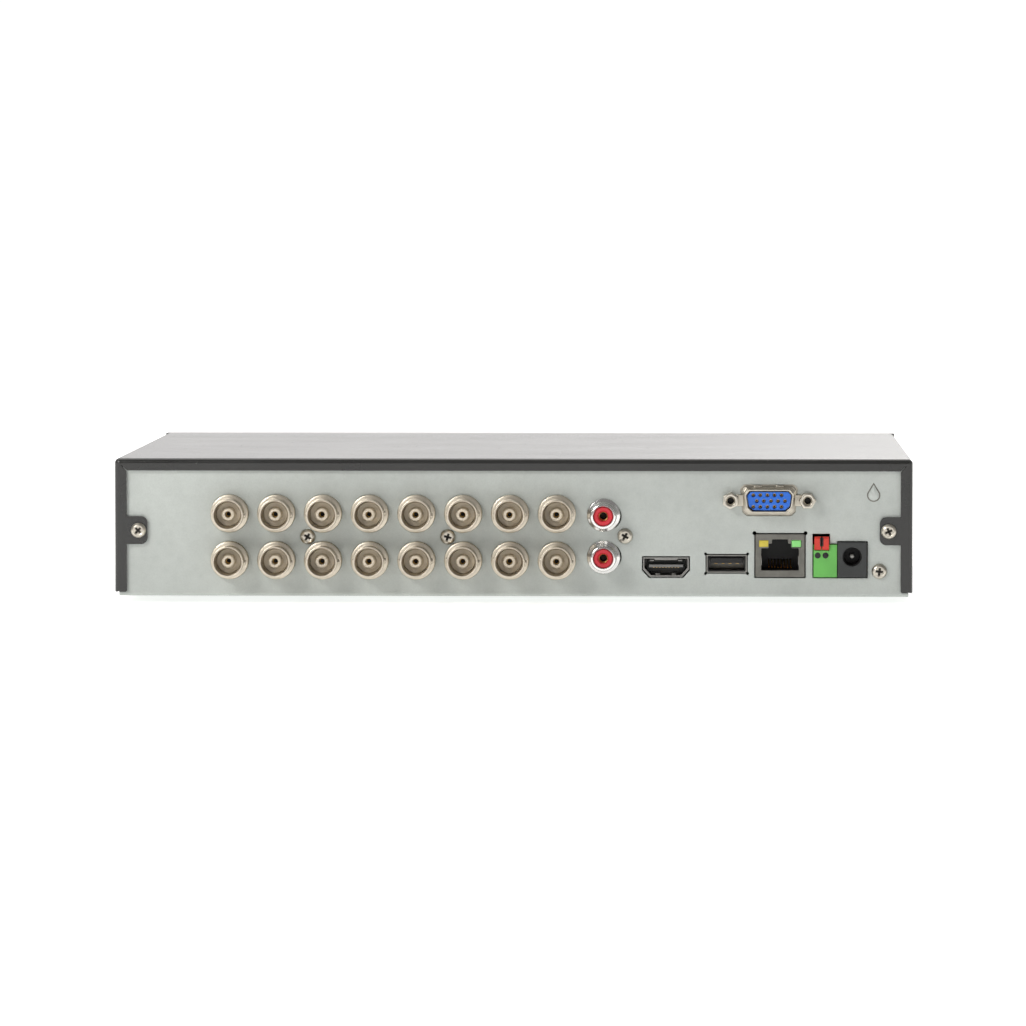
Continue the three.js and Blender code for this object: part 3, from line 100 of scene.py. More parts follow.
def sizes(group):
    """The sizes of a property group, in millimetres."""
    values = getattr(bpy.context.scene, group)
    return SimpleNamespace(**{key: getattr(values, key) / MM for key in type(values).__annotations__})


def colour(name, description, red, green, blue):
    """A linear colour in the panel."""
    return bpy.props.FloatVectorProperty(
        name=name, description=description, subtype="COLOR", size=3,
        default=(red, green, blue), min=0.0, max=1.0,
    )


class SheetSizes(bpy.types.PropertyGroup):
    """Sizes of the folded steel: tray, rear panel and cover."""

    edge: length("Edge radius", "Rounding of every sheared edge", 0.16)
    bend: length("Bend radius", "Outer radius of the folds", 1.6)
    flange: length("Rear flange", "Width of the cover's rear flange", 4.0)
    tab_reach: length("Tab reach", "How far a screw tab comes in from the side", 10.7)
    tab_height: length("Tab height", "Height of a screw tab", 9.1)
    tab_radius: length("Tab corner", "Corner radius of a screw tab", 2.1)
    mitre: length("Mitre gap", "Gap in the corners of the rear flange", 0.25)
    relief: length("Corner relief", "Radius of the punched reliefs in a cut-out's corners", 0.45)


class CameraJackSizes(bpy.types.PropertyGroup):
    """Sizes of the sixteen bayonet jacks."""

    collar: length("Collar radius", "Radius of the mounting collar", 6.2)
    collar_reach: length("Collar reach", "Height of the collar over the panel", 3.1)
    neck: length("Neck radius", "Radius behind the front ring", 4.75)
    ring: length("Front ring radius", "Radius of the barrel's front ring", 5.15)
    reach: length("Reach", "Height of the barrel over the panel", 11.0)
    bore: length("Bore radius", "Radius of the barrel's bore", 4.1)
    boss: length("Boss radius", "Radius of the insulator round the contact", 2.3)
    contact: length("Contact radius", "Radius of the contact's hole", 1.0)


class AudioJackSizes(bpy.types.PropertyGroup):
    """Sizes of the two audio jacks."""

    flare: length("Flare radius", "Radius of the plated flare on the panel", 5.45)
    barrel: length("Barrel radius", "Radius of the plated barrel", 4.15)
    reach: length("Reach", "Height of the barrel over the panel", 9.4)
    insert: length("Insert radius", "Radius of the red insert", 3.1)
    hole: length("Hole radius", "Radius of the centre hole", 1.55)


class ScrewSizes(bpy.types.PropertyGroup):
    """Sizes of the cross-head screws."""

    head: length("Head radius", "Radius of the pan head", 2.5)
    height: length("Head height", "Height of the pan head", 1.85)
    slot: length("Slot width", "Width of a wing of the cross", 0.75)
    slot_reach: length("Slot reach", "Length of a wing of the cross", 1.5)
    slot_depth: length("Slot depth", "Depth of the cross", 1.2)


class Finishes(bpy.types.PropertyGroup):
    """Colours of the main finishes."""

    zinc: colour("Zinc plate", "Bare plated steel of the tray", 0.50, 0.53, 0.505)
    paint: colour("Cover paint", "Powder paint of the cover", 0.016, 0.016, 0.015)
    nickel: colour("Jack plate", "Warm plate of the camera jacks", 0.66, 0.595, 0.49)
    chrome: colour("Bright plate", "Bright plate of the audio jacks", 0.80, 0.79, 0.77)
    red: colour("Audio red", "Insert of the audio jacks", 0.52, 0.018, 0.03)
    green: colour("Terminal green", "Moulding of the terminal block", 0.125, 0.43, 0.085)
    lever: colour("Lever red", "Moulding of the terminal levers", 0.58, 0.035, 0.02)
    blue: colour("Monitor blue", "Insert of the monitor socket", 0.018, 0.14, 0.62)
    dark: colour("Dark moulding", "Power jack and other dark mouldings", 0.03, 0.033, 0.033)
    board: colour("Board green", "Solder resist of the circuit boards", 0.012, 0.105, 0.045)


PROPERTY_GROUPS = {
    "recorder_sheet": SheetSizes,
    "recorder_jacks": CameraJackSizes,
    "recorder_audio": AudioJackSizes,
    "recorder_screws": ScrewSizes,
    "recorder_finishes": Finishes,
}


# ------------------------------------------------------------------ shader expressions


class Value:
    """A shader socket that takes part in arithmetic."""

    def __init__(self, kit, socket):
        self.kit = kit
        self.socket = socket

    def math(self, operation, *others):
        return self.kit.node("ShaderNodeMath", {"operation": operation}, self, *others)

    def __add__(self, other):
        return self.math("ADD", other)

    __radd__ = __add__

    def __mul__(self, other):
        return self.math("MULTIPLY", other)

    __rmul__ = __mul__

    def __sub__(self, other):
        return self.math("SUBTRACT", other)

    def __rsub__(self, other):
        return self.kit.node("ShaderNodeMath", {"operation": "SUBTRACT"}, other, self)

    def between(self, low, high):
        """0 below low, 1 above high, and a straight ramp from one to the other."""
        return self.kit.node("ShaderNodeMapRange", {"clamp": True}, self, low, high, 0.0, 1.0)


class Finish:
    """A material under construction."""

    def __init__(self, name):
        self.material = bpy.data.materials.new(name)
        self.material.use_nodes = True
        self.tree = self.material.node_tree
        self.tree.nodes.clear()

    def node(self, kind, settings=None, *values, output=0, **named):
        """Adds a node: settings first, then the values or links of its sockets."""
        made = self.tree.nodes.new(kind)
        for key, value in (settings or {}).items():
            setattr(made, key, value)
        for key, value in [*enumerate(values), *named.items()]:
            self.feed(made.inputs[key if isinstance(key, int) else key.replace("_", " ")], value)
        return Value(self, made.outputs[output]) if made.outputs else None

    def feed(self, socket, value):
        if isinstance(value, Value):
            self.tree.links.new(value.socket, socket)
        elif value is not None:
            socket.default_value = (*value, 1.0) if socket.type == "RGBA" else value

    def place(self, stretch=(1.0, 1.0, 1.0)):
        """Object coordinates, stretched."""
        spot = self.node("ShaderNodeTexCoord", output=3)
        return self.node("ShaderNodeMapping", None, spot, Scale=stretch)

    def noise(self, size, detail=2.0, roughness=0.5, stretch=(1.0, 1.0, 1.0)):
        """Noise with features of about size millimetres."""
        return self.node(
            "ShaderNodeTexNoise", None, self.place(stretch),
            Scale=1.0 / (size * MM), Detail=detail, Roughness=roughness,
        )

    def cells(self, size, feature="F1", stretch=(1.0, 1.0, 1.0)):
        """Distances in a cell pattern with cells of about size millimetres."""
        return self.node(
            "ShaderNodeTexVoronoi", {"feature": feature}, self.place(stretch), Scale=1.0 / (size * MM)
        )

    def mix(self, factor, first, second):
        """A colour between two others."""
        made = self.tree.nodes.new("ShaderNodeMix")
        made.data_type = "RGBA"
        for index, value in ((0, factor), (6, first), (7, second)):
            self.feed(made.inputs[index], value)
        return Value(self, made.outputs[2])

    def bump(self, height, depth, strength=1.0):
        """A normal from a height that counts depth millimetres."""
        return self.node(
            "ShaderNodeBump", None, Strength=strength, Distance=depth * MM, Height=height
        )

    def shade(self, **sockets):
        """Ends the material with a shader and returns it."""
        shader = self.node("ShaderNodeBsdfPrincipled", None, **sockets)
        self.node("ShaderNodeOutputMaterial", None, shader)
        return self.material


def tinted(shade, factor):
    """A colour made lighter or darker."""
    return tuple(min(1.0, channel * factor) for channel in shade)


def zinc_plate(shade):
    """Bare zinc-plated sheet: rolled grain, faint spangle, handling marks."""
    f = Finish("zinc_plate")
    grain = f.noise(1.1, 4.0, 0.6, (0.12, 1.0, 1.0))
    cloud = f.noise(26.0, 3.0, 0.6)
    speck = f.noise(0.45, 3.0, 0.7)
    spangle = f.cells(2.6)
    tone = f.mix(cloud.between(0.35, 0.65), tinted(shade, 0.93), tinted(shade, 1.05))
    tone = f.mix(speck.between(0.3, 0.75) * 0.4, tone, tinted(shade, 0.72))
    tone = f.mix(spangle.between(0.1, 0.9) * 0.16, tone, tinted(shade, 1.22))
    rough = grain * 0.06 + cloud * 0.1 + 0.42
    normal = f.bump(grain * 0.2 + speck * 0.9, 0.012)
    return f.shade(Base_Color=tone, Roughness=rough, Metallic=0.55, Normal=normal)


def powder_paint(shade):
    """Satin black powder paint: orange peel, dust and a few light scuffs."""
    f = Finish("powder_paint")
    peel = f.noise(0.8, 2.0, 0.5)
    fine = f.noise(0.22, 2.0, 0.6)
    cloud = f.noise(42.0, 3.0, 0.55)
    scuff = f.noise(3.0, 5.0, 0.75, (1.0, 0.12, 1.0))
    tone = f.mix(cloud.between(0.3, 0.7), shade, tinted(shade, 1.45))
    tone = f.mix(scuff.between(0.68, 0.8) * 0.25, tone, tinted(shade, 4.0))
    rough = cloud * 0.08 + peel * 0.06 + scuff.between(0.6, 0.85) * 0.1 + 0.17
    normal = f.bump(peel * 0.7 + fine * 0.3, 0.014)
    return f.shade(Base_Color=tone, Roughness=rough, Normal=normal, Specular_IOR_Level=0.62)


def plated(name, shade, roughness, grime=0.3, grain=0.35):
    """Plated metal: soft unevenness, tiny pits, and grime that dulls it in patches."""
    f = Finish(name)
    cloud = f.noise(2.6, 3.0, 0.6)
    pits = f.noise(grain, 3.0, 0.65)
    tone = f.mix(cloud.between(0.3, 0.75) * grime, shade, tinted(shade, 0.55))
    tone = f.mix(pits.between(0.62, 0.8) * 0.35, tone, tinted(shade, 0.4))
    rough = cloud * 0.12 + pits * 0.1 + (roughness - 0.06)
    normal = f.bump(cloud * 0.6 + pits * 0.4, 0.016)
    return f.shade(Base_Color=tone, Roughness=rough, Metallic=1.0, Normal=normal)


def moulded(name, shade, roughness, texture=0.35, depth=0.012, **more):
    """Moulded plastic: spark-eroded texture, slight drift of colour and gloss."""
    f = Finish(name)
    drift = f.noise(7.0, 2.0, 0.5)
    fine = f.noise(texture, 3.0, 0.6)
    dust = f.noise(1.4, 4.0, 0.8)
    tone = f.mix(drift.between(0.3, 0.7), tinted(shade, 0.88), tinted(shade, 1.1))
    tone = f.mix(dust.between(0.66, 0.82) * 0.16, tone, tinted(shade, 1.9))
    rough = fine * 0.12 + drift * 0.08 + (roughness - 0.1)
    return f.shade(Base_Color=tone, Roughness=rough, Normal=f.bump(fine, depth), **more)


def brushed(name, shade, roughness, along=(0.05, 1.0, 1.0)):
    """Brushed or milled metal with lines along one axis."""
    f = Finish(name)
    lines = f.noise(0.35, 3.0, 0.65, along)
    cloud = f.noise(14.0, 2.0, 0.5)
    tone = f.mix(lines.between(0.3, 0.7) * 0.4, shade, tinted(shade, 0.7))
    rough = lines * 0.16 + cloud * 0.1 + (roughness - 0.1)
    return f.shade(Base_Color=tone, Roughness=rough, Metallic=1.0, Normal=f.bump(lines, 0.01))


def circuit_board(shade):
    """Solder resist over copper: buried tracks, pads and a soft gloss."""
    f = Finish("circuit_board")
    tracks = f.cells(2.4, "DISTANCE_TO_EDGE", (1.0, 1.0, 0.02))
    lanes = f.node(
        "ShaderNodeTexWave", {"bands_direction": "DIAGONAL"}, f.place((1.0, 1.0, 0.02)),
        Scale=260.0, Distortion=1.2,
    )
    copper = tracks.between(0.07, 0.04)
    lane = lanes.between(0.78, 0.86)
    cloud = f.noise(18.0, 2.0, 0.5)
    tone = f.mix(cloud.between(0.3, 0.7), tinted(shade, 0.8), tinted(shade, 1.15))
    tone = f.mix(copper * 0.5 + lane * 0.25, tone, (shade[0] * 4 + 0.02, shade[1] * 2.1, shade[2] * 1.9))
    rough = cloud * 0.12 + 0.26
    return f.shade(Base_Color=tone, Roughness=rough, Normal=f.bump(copper + lane * 0.5, 0.03))


def polished_disc(shade):
    """Mirror-finished disc with the faintest haze."""
    f = Finish("polished_disc")
    haze = f.noise(20.0, 2.0, 0.5)
    tone = f.mix(haze, tinted(shade, 0.94), shade)
    return f.shade(Base_Color=tone, Roughness=haze * 0.05 + 0.04, Metallic=1.0)


def studio_floor(shade):
    """Seamless pale paper."""
    f = Finish("studio_floor")
    tooth = f.noise(3.0, 3.0, 0.6)
    tone = f.mix(tooth, tinted(shade, 0.995), shade)
    return f.shade(
        Base_Color=tone, Roughness=0.9, Emission_Color=(1.0, 1.0, 1.0), Emission_Strength=0.55
    )


class Shelf:
    """Every finish of the recorder, made once when first asked for."""

    def __init__(self):
        self.made = {}

    def __getitem__(self, name):
        if name not in self.made:
            self.made[name] = self.make(name)
        return self.made[name]

    def make(self, name):
        c = bpy.context.scene.recorder_finishes
        recipes = {
            "zinc": lambda: zinc_plate(c.zinc),
            "paint": lambda: powder_paint(c.paint),
            "nickel": lambda: plated("jack_nickel", c.nickel, 0.33, 0.45),
            "contact": lambda: plated("contact_gold", (0.72, 0.48, 0.18), 0.3, 0.2),
            "chrome": lambda: plated("audio_chrome", c.chrome, 0.14, 0.15),
            "screw": lambda: plated("screw_nickel", (0.62, 0.58, 0.5), 0.28, 0.4),
            "tin": lambda: plated("socket_tin", (0.34, 0.335, 0.31), 0.34, 0.5),
            "shell": lambda: plated("monitor_shell", (0.58, 0.54, 0.46), 0.3, 0.4),
            "dim_shell": lambda: plated("display_shell", (0.30, 0.295, 0.28), 0.4, 0.5),
            # Dark tin of the network socket; also laid round the earth mark as painted shade.
            "can": lambda: plated("socket_can", (0.205, 0.20, 0.18), 0.36, 0.5),
            "insulator": lambda: moulded("jack_insulator", (0.60, 0.53, 0.42), 0.42, 0.25),
            "red": lambda: moulded("audio_red", c.red, 0.34, 0.3),
            "green": lambda: moulded("terminal_green", c.green, 0.5),
            "lever": lambda: moulded("lever_red", c.lever, 0.5),
            "blue": lambda: moulded("monitor_blue", c.blue, 0.5, 0.3),
            "dark": lambda: moulded("dark_moulding", c.dark, 0.55),
            # Black moulding; also laid at the feet of holes as painted shade.
            "black": lambda: moulded("black_moulding", (0.007, 0.007, 0.007), 0.5),
            "gloss": lambda: moulded("bezel_gloss", (0.012, 0.012, 0.013), 0.2, 0.6, 0.004, Coat_Weight=0.4),
            "window": lambda: moulded(
                "smoked_window", (0.018, 0.006, 0.007), 0.16, 0.8, 0.002, Coat_Weight=0.6
            ),
            "rubber": lambda: moulded("foot_rubber", (0.018, 0.018, 0.018), 0.85, 0.6, 0.05),
            "board": lambda: circuit_board(c.board),
            "chip": lambda: moulded("chip_moulding", (0.018, 0.018, 0.019), 0.55, 0.2),
            "grey": lambda: moulded("tongue_grey", (0.16, 0.16, 0.155), 0.45),
            "white": lambda: moulded("white_nylon", (0.72, 0.70, 0.64), 0.45),
            "label": lambda: moulded("blank_label", (0.66, 0.66, 0.64), 0.5, 1.2, 0.004),
            "sink": lambda: brushed("sink_aluminium", (0.62, 0.63, 0.65), 0.42, (1.0, 0.05, 1.0)),
            "cast": lambda: plated("drive_cast", (0.36, 0.365, 0.37), 0.5, 0.3, 0.6),
            "lid": lambda: brushed("drive_lid", (0.60, 0.61, 0.62), 0.36),
            "disc": lambda: polished_disc((0.84, 0.86, 0.88)),
            "arm": lambda: brushed("arm_aluminium", (0.66, 0.66, 0.66), 0.38, (1.0, 1.0, 0.05)),
            "fan": lambda: moulded("fan_moulding", (0.014, 0.014, 0.014), 0.48),
            "lead_red": lambda: moulded("lead_red", (0.36, 0.012, 0.012), 0.5, 0.5),
            "lead_black": lambda: moulded("lead_black", (0.012, 0.012, 0.012), 0.55, 0.5),
            "ribbon": lambda: moulded("ribbon_grey", (0.38, 0.38, 0.36), 0.55, 0.5),
            "steel": lambda: brushed("cell_steel", (0.60, 0.59, 0.57), 0.32),
            "lamp": lambda: moulded("lamp_lens", (0.30, 0.32, 0.33), 0.3, 0.4),
            # Painted shade: a dark moulding laid in the cross recesses of the screws.
            "grime": lambda: moulded("recess_grime", (0.05, 0.045, 0.038), 0.6, 0.3),
            "amber": lambda: moulded("lens_amber", (0.62, 0.50, 0.06), 0.3, 0.4),
            "lime": lambda: moulded("lens_green", (0.22, 0.62, 0.18), 0.3, 0.4),
            "floor": lambda: studio_floor((0.93, 0.93, 0.925)),
        }
        return recipes[name]()


SHELF = Shelf()


# ------------------------------------------------------------------ outlines


def rounded(points, radius, steps=4):
    """A closed outline with an arc of the given radius in each corner."""
    outline = []
    for i, corner in enumerate(points):
        here = Vector(corner)
        back = (Vector(points[i - 1]) - here).normalized()
        ahead = (Vector(points[(i + 1) % len(points)]) - here).normalized()
        half = back.angle(ahead) / 2
        reach = radius / math.tan(half)
        centre = here + (back + ahead).normalized() * (radius / math.sin(half))
        start = here + back * reach - centre
        end = here + ahead * reach - centre
        for k in range(steps + 1):
            swing = start.lerp(end, k / steps).normalized() * radius
            outline.append(tuple(centre + swing))
    return outline


def oblong(low, high, radius=0.0):
    """A rectangle's outline from its lower to its upper corner."""
    corners = [(low[0], low[1]), (high[0], low[1]), (high[0], high[1]), (low[0], high[1])]
    return rounded(corners, radius) if radius else corners


def circle(centre, radius, count=32):
    """A circle's outline."""
    turn = 2 * math.pi / count
    return [
        (centre[0] + radius * math.cos(i * turn), centre[1] + radius * math.sin(i * turn))
        for i in range(count)
    ]


# Turns that lay a flat outline in a plane, with its thickness along the third axis
PLANES = {
    "xy": Matrix(((1, 0, 0), (0, 1, 0), (0, 0, 1))),
    "xz": Matrix(((1, 0, 0), (0, 0, -1), (0, 1, 0))),
    "yz": Matrix(((0, 0, 1), (1, 0, 0), (0, 1, 0))),
}
THICKNESS = {"xy": 2, "xz": 1, "yz": 0}


# ------------------------------------------------------------------ pieces


class Piece:
    """One piece of the recorder, gathered shape by shape in millimetres."""

    def __init__(self, name):
        self.name = name
        self.shapes = bmesh.new()
        self.finishes = []

    def take(self, shape, finish, recalculate=True):
        """Adds a closed shape in one finish."""
        if recalculate:
            bmesh.ops.recalc_face_normals(shape, faces=shape.faces)
        if finish not in self.finishes:
            self.finishes.append(finish)
        for face in shape.faces:
            face.material_index = self.finishes.index(finish)
        held = bpy.data.meshes.new("held")
        shape.to_mesh(held)
        shape.free()
        self.shapes.from_mesh(held)
        bpy.data.meshes.remove(held)

    def block(self, finish, low, high, bevel=0.2, segments=2):
        """A box with rounded edges and flat faces."""
        shape = bmesh.new()
        size = Vector(high) - Vector(low)
        place = Matrix.Translation((Vector(low) + Vector(high)) / 2) @ Matrix.Diagonal((*size, 1))
        bmesh.ops.create_cube(shape, size=1.0, matrix=place)
        bevel = min(bevel, 0.3 * min(size))
        edges = bmesh.ops.bevel(
            shape, geom=shape.edges[:], offset=bevel, segments=segments, profile=0.5,
            affect="EDGES",
        )
        for face in edges["faces"]:
            face.smooth = True
        self.take(shape, finish)

    def lathe(self, finish, profile, centre, axis="y", segments=48):
        """A body turned round an axis through centre, from (radius, height) pairs."""
        shape = bmesh.new()
        ways = {"x": (1, 2, 0), "y": (2, 0, 1), "z": (0, 1, 2)}[axis]
        looped = profile[0] != profile[-1] and profile[0][0] > 0
        rings = []
        for radius, height in profile:
            ring = []
            for k in range(segments if radius > 0 else 1):
                angle = 2 * math.pi * k / segments
                spot = Vector(centre)
                spot[ways[0]] += radius * math.cos(angle)
                spot[ways[1]] += radius * math.sin(angle)
                spot[ways[2]] += height
                ring.append(shape.verts.new(spot))
            rings.append(ring)
        pairs = list(zip(rings, rings[1:])) + ([(rings[-1], rings[0])] if looped else [])
        for first, second in pairs:
            for k in range(segments):
                a, b = k % len(first), (k + 1) % len(first)
                c, d = (k + 1) % len(second), k % len(second)
                corners = dict.fromkeys([first[a], first[b], second[c], second[d]])
                if len(corners) > 2:
                    shape.faces.new(corners).smooth = True
        self.take(shape, finish)

    def rod(self, finish, radius, low, high, centre, axis="z", segments=24, edge=0.2):
        """A pin along an axis between two levels, with its ends rounded off."""
        edge = min(edge, 0.4 * radius, 0.4 * (high - low))
        start = Vector(centre)
        start["xyz".index(axis)] = 0.0
        soft = 0.3 * edge
        profile = [
            (0, low), (radius - edge, low), (radius - soft, low + soft), (radius, low + edge),
            (radius, high - edge), (radius - soft, high - soft), (radius - edge, high), (0, high),
        ]
        self.lathe(finish, profile, start, axis, segments)

    def plate(self, finish, outline, low, high, holes=(), plane="xz", bevel=0.16):
        """A flat outline with holes, given a thickness and rounded edges."""
        curve = bpy.data.curves.new("outline", "CURVE")
        curve.dimensions = "2D"
        curve.fill_mode = "BOTH"
        for loop in [outline, *holes]:
            spline = curve.splines.new("POLY")
            spline.points.add(len(loop) - 1)
            for point, (x, y) in zip(spline.points, loop):
                point.co = (x, y, 0.0, 1.0)
            spline.use_cyclic_u = True
        bevel = min(bevel, 0.4 * abs(high - low))
        curve.extrude = (high - low) / 2 - bevel
        curve.bevel_depth = bevel
        curve.bevel_resolution = 1
        curve.offset = -bevel
        drawn = bpy.data.objects.new("outline", curve)
        bpy.context.scene.collection.objects.link(drawn)
        graph = bpy.context.evaluated_depsgraph_get()
        mesh = bpy.data.meshes.new_from_object(drawn.evaluated_get(graph))
        bpy.data.objects.remove(drawn)
        bpy.data.curves.remove(curve)
        shape = bmesh.new()
        shape.from_mesh(mesh)
        bpy.data.meshes.remove(mesh)
        bmesh.ops.remove_doubles(shape, verts=shape.verts, dist=1e-4)
        lift = [0.0, 0.0, 0.0]
        lift[THICKNESS[plane]] = (low + high) / 2
        bmesh.ops.transform(
            shape, matrix=Matrix.Translation(lift) @ PLANES[plane].to_4x4(), verts=shape.verts
        )
        for face in shape.faces:
            face.normal_update()
            face.smooth = abs(face.normal[THICKNESS[plane]]) < 0.999
        self.take(shape, finish)

    def tube(self, finish, path, radius, sides=12, flat=1.0):
        """A round or flattened bar along a path, with closed ends."""
        shape = bmesh.new()
        points = [Vector(p) for p in path]
        side = None
        rings = []
        for i, point in enumerate(points):
            ahead = (points[min(i + 1, len(points) - 1)] - points[max(i - 1, 0)]).normalized()
            if side is None:
                side = ahead.orthogonal().normalized()
            side = (side - ahead * side.dot(ahead)).normalized()
            across = ahead.cross(side)
            rings.append([
                shape.verts.new(
                    point
                    + side * radius * math.cos(2 * math.pi * k / sides)
                    + across * radius * flat * math.sin(2 * math.pi * k / sides)
                )
                for k in range(sides)
            ])
        for first, second in zip(rings, rings[1:]):
            for k in range(sides):
                n = (k + 1) % sides
                shape.faces.new((first[k], first[n], second[n], second[k])).smooth = True
        shape.faces.new(rings[0])
        shape.faces.new(rings[-1])
        self.take(shape, finish)

    def node(self, finish, node):
        """A CAD node's own shape, merged and freed of flat edges."""
        shape = bmesh.new()
        shape.from_mesh(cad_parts[node].data)
        bmesh.ops.scale(shape, vec=(1 / MM, 1 / MM, 1 / MM), verts=shape.verts)
        bmesh.ops.remove_doubles(shape, verts=shape.verts, dist=0.002)
        bmesh.ops.dissolve_limit(
            shape, angle_limit=math.radians(1), verts=shape.verts, edges=shape.edges,
        )
        for face in shape.faces:
            face.smooth = True
        self.take(shape, finish, recalculate=False)

    def object(self, sharp=32.0):
        """The piece as an object, at the origin and in metres."""
        bmesh.ops.scale(self.shapes, vec=(MM, MM, MM), verts=self.shapes.verts)
        mesh = bpy.data.meshes.new(self.name)
        self.shapes.to_mesh(mesh)
        self.shapes.free()
        for finish in self.finishes:
            mesh.materials.append(SHELF[finish])
        mesh.set_sharp_from_angle(angle=math.radians(sharp))
        made = bpy.data.objects.new(self.name, mesh)
        bpy.context.scene.collection.objects.link(made)
        return made

    def done(self, nodes, body="case", edge=0.0, segments=2, sharp=32.0):
        """Places the finished piece on its body, in place of its CAD nodes."""
        made = self.object(sharp)
        if edge:
            soften(made, edge, segments)
        else:
            even_shading(made)
        return settle(made, nodes, body)


def even_shading(made):
    """Lets the large faces set the shading, so that flat sheet looks flat."""
    even = made.modifiers.new("even shading", "WEIGHTED_NORMAL")
    even.keep_sharp = True


def soften(made, edge, segments=2):
    """Rounds every crisp edge by so many millimetres."""
    bevel = made.modifiers.new("edges", "BEVEL")
    bevel.width = edge * MM
    bevel.segments = segments
    bevel.limit_method = "ANGLE"
    bevel.angle_limit = math.radians(32)
    bevel.miter_outer = "MITER_ARC"
    bevel.use_clamp_overlap = True
    even = made.modifiers.new("even shading", "WEIGHTED_NORMAL")
    even.keep_sharp = True


def settle(made, nodes, body="case"):
    """Rides a piece on its body and the CAD nodes it stands for."""
    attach(made, body)
    if nodes:
        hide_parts(*nodes)
    return made


# ------------------------------------------------------------------ node trees for what repeats


class Repeat:
    """A geometry node tree that copies a shape, then realizes it and sets its finishes."""

    def __init__(self, name, finishes):
        self.tree = bpy.data.node_groups.new(name, "GeometryNodeTree")
        self.finishes = finishes
        self.inputs = {}
        self.tree.interface.new_socket("Geometry", in_out="INPUT", socket_type="NodeSocketGeometry")
        self.tree.interface.new_socket("Geometry", in_out="OUTPUT", socket_type="NodeSocketGeometry")
        self.enter = self.tree.nodes.new("NodeGroupInput")
        self.leave = self.tree.nodes.new("NodeGroupOutput")

    def input(self, name, kind, value=None):
        """A named input of the tree, with the value it gets."""
        made = self.tree.interface.new_socket(name, in_out="INPUT", socket_type=kind)
        self.inputs[name] = (made.identifier, value)
        return self.enter.outputs[name]

    def node(self, kind, settings=None, output=0, **values):
        """Adds a node: settings first, then the values or links of its sockets."""
        made = self.tree.nodes.new(kind)
        for key, value in (settings or {}).items():
            setattr(made, key, value)
        for key, value in values.items():
            socket = made.inputs[int(key[1:]) if key[1:].isdigit() else key.replace("_", " ")]
            if isinstance(value, bpy.types.NodeSocket):
                self.tree.links.new(value, socket)
            else:
                socket.default_value = value
        return made.outputs[output]

    def copies(self, points, turn=None):
        """Copies the named shape to points, turned at random or by an attribute, and ends the tree."""
        shape = self.input("Shape", "NodeSocketObject")
        source = self.node("GeometryNodeObjectInfo", Object=shape, output=4)
        placed = self.node("GeometryNodeInstanceOnPoints", Points=points, Instance=source)
        if turn is not None:
            self.tree.links.new(turn, placed.node.inputs["Rotation"])
        whole = self.node("GeometryNodeRealizeInstances", Geometry=placed)
        index = self.node("GeometryNodeInputNamedAttribute", {"data_type": "INT"}, Name="finish")
        for k, finish in enumerate(self.finishes):
            material = self.input(f"Finish {k + 1}", "NodeSocketMaterial", SHELF[finish])
            chosen = self.node(
                "FunctionNodeCompare", {"data_type": "INT", "operation": "EQUAL"}, _2=index, _3=k
            )
            whole = self.node("GeometryNodeSetMaterial", Geometry=whole, Selection=chosen, Material=material)
        self.tree.links.new(whole, self.leave.inputs[0])

    def run(self, name, shape, base=None):
        """Runs the tree on a base object and returns a plain mesh object."""
        attribute = shape.data.attributes.new("finish", "INT", "FACE")
        attribute.data.foreach_set("value", [f.material_index for f in shape.data.polygons])
        if base is None:
            base = bpy.data.objects.new(name + "_base", bpy.data.meshes.new(name + "_base"))
            bpy.context.scene.collection.objects.link(base)
        modifier = base.modifiers.new("repeat", "NODES")
        modifier.node_group = self.tree
        for identifier, value in self.inputs.values():
            if value is not None:
                modifier[identifier] = value
        modifier[self.inputs["Shape"][0]] = shape
        graph = bpy.context.evaluated_depsgraph_get()
        mesh = bpy.data.meshes.new_from_object(base.evaluated_get(graph))
        if not mesh.polygons:
            raise RuntimeError(f"{name} came out empty")
        base.modifiers.remove(modifier)
        for spare in (base, shape):
            bpy.data.objects.remove(spare)
        mesh.name = name
        mesh.attributes.remove(mesh.attributes["finish"])
        mesh.set_sharp_from_angle(angle=math.radians(32))
        made = bpy.data.objects.new(name, mesh)
        bpy.context.scene.collection.objects.link(made)
        return made


def scattered(name, shape, finishes, places, spin=0.0, seed=1):
    """Copies a shape to places, each a point and a turn in degrees, with a further random spin."""
    mesh = bpy.data.meshes.new(name + "_places")
    mesh.from_pydata([Vector(point) * MM for point, _ in places], [], [])
    turns = mesh.attributes.new("turn", "FLOAT_VECTOR", "POINT")
    for item, (_, turn) in zip(turns.data, places):
        item.vector = [math.radians(angle) for angle in turn]
    base = bpy.data.objects.new(name + "_places", mesh)
    bpy.context.scene.collection.objects.link(base)
    repeat = Repeat(name, finishes)
    turn = repeat.node("GeometryNodeInputNamedAttribute", {"data_type": "FLOAT_VECTOR"}, Name="turn")
    spread = repeat.input("Spin", "NodeSocketFloat", math.radians(spin))
    seed_in = repeat.input("Seed", "NodeSocketInt", seed)
    back = repeat.node("ShaderNodeMath", {"operation": "MULTIPLY"}, _0=spread, _1=-1.0)
    angle = repeat.node(
        "FunctionNodeRandomValue", {"data_type": "FLOAT"}, output=1, _2=back, _3=spread, Seed=seed_in
    )
    own = repeat.node("ShaderNodeCombineXYZ", Z=angle)
    turned = repeat.node(
        "FunctionNodeRotateEuler", {"rotation_type": "EULER", "space": "LOCAL"}, _0=turn, _1=own
    )
    repeat.copies(repeat.enter.outputs["Geometry"], turned)
    return repeat.run(name, shape, base)


# ------------------------------------------------------------------ shapes


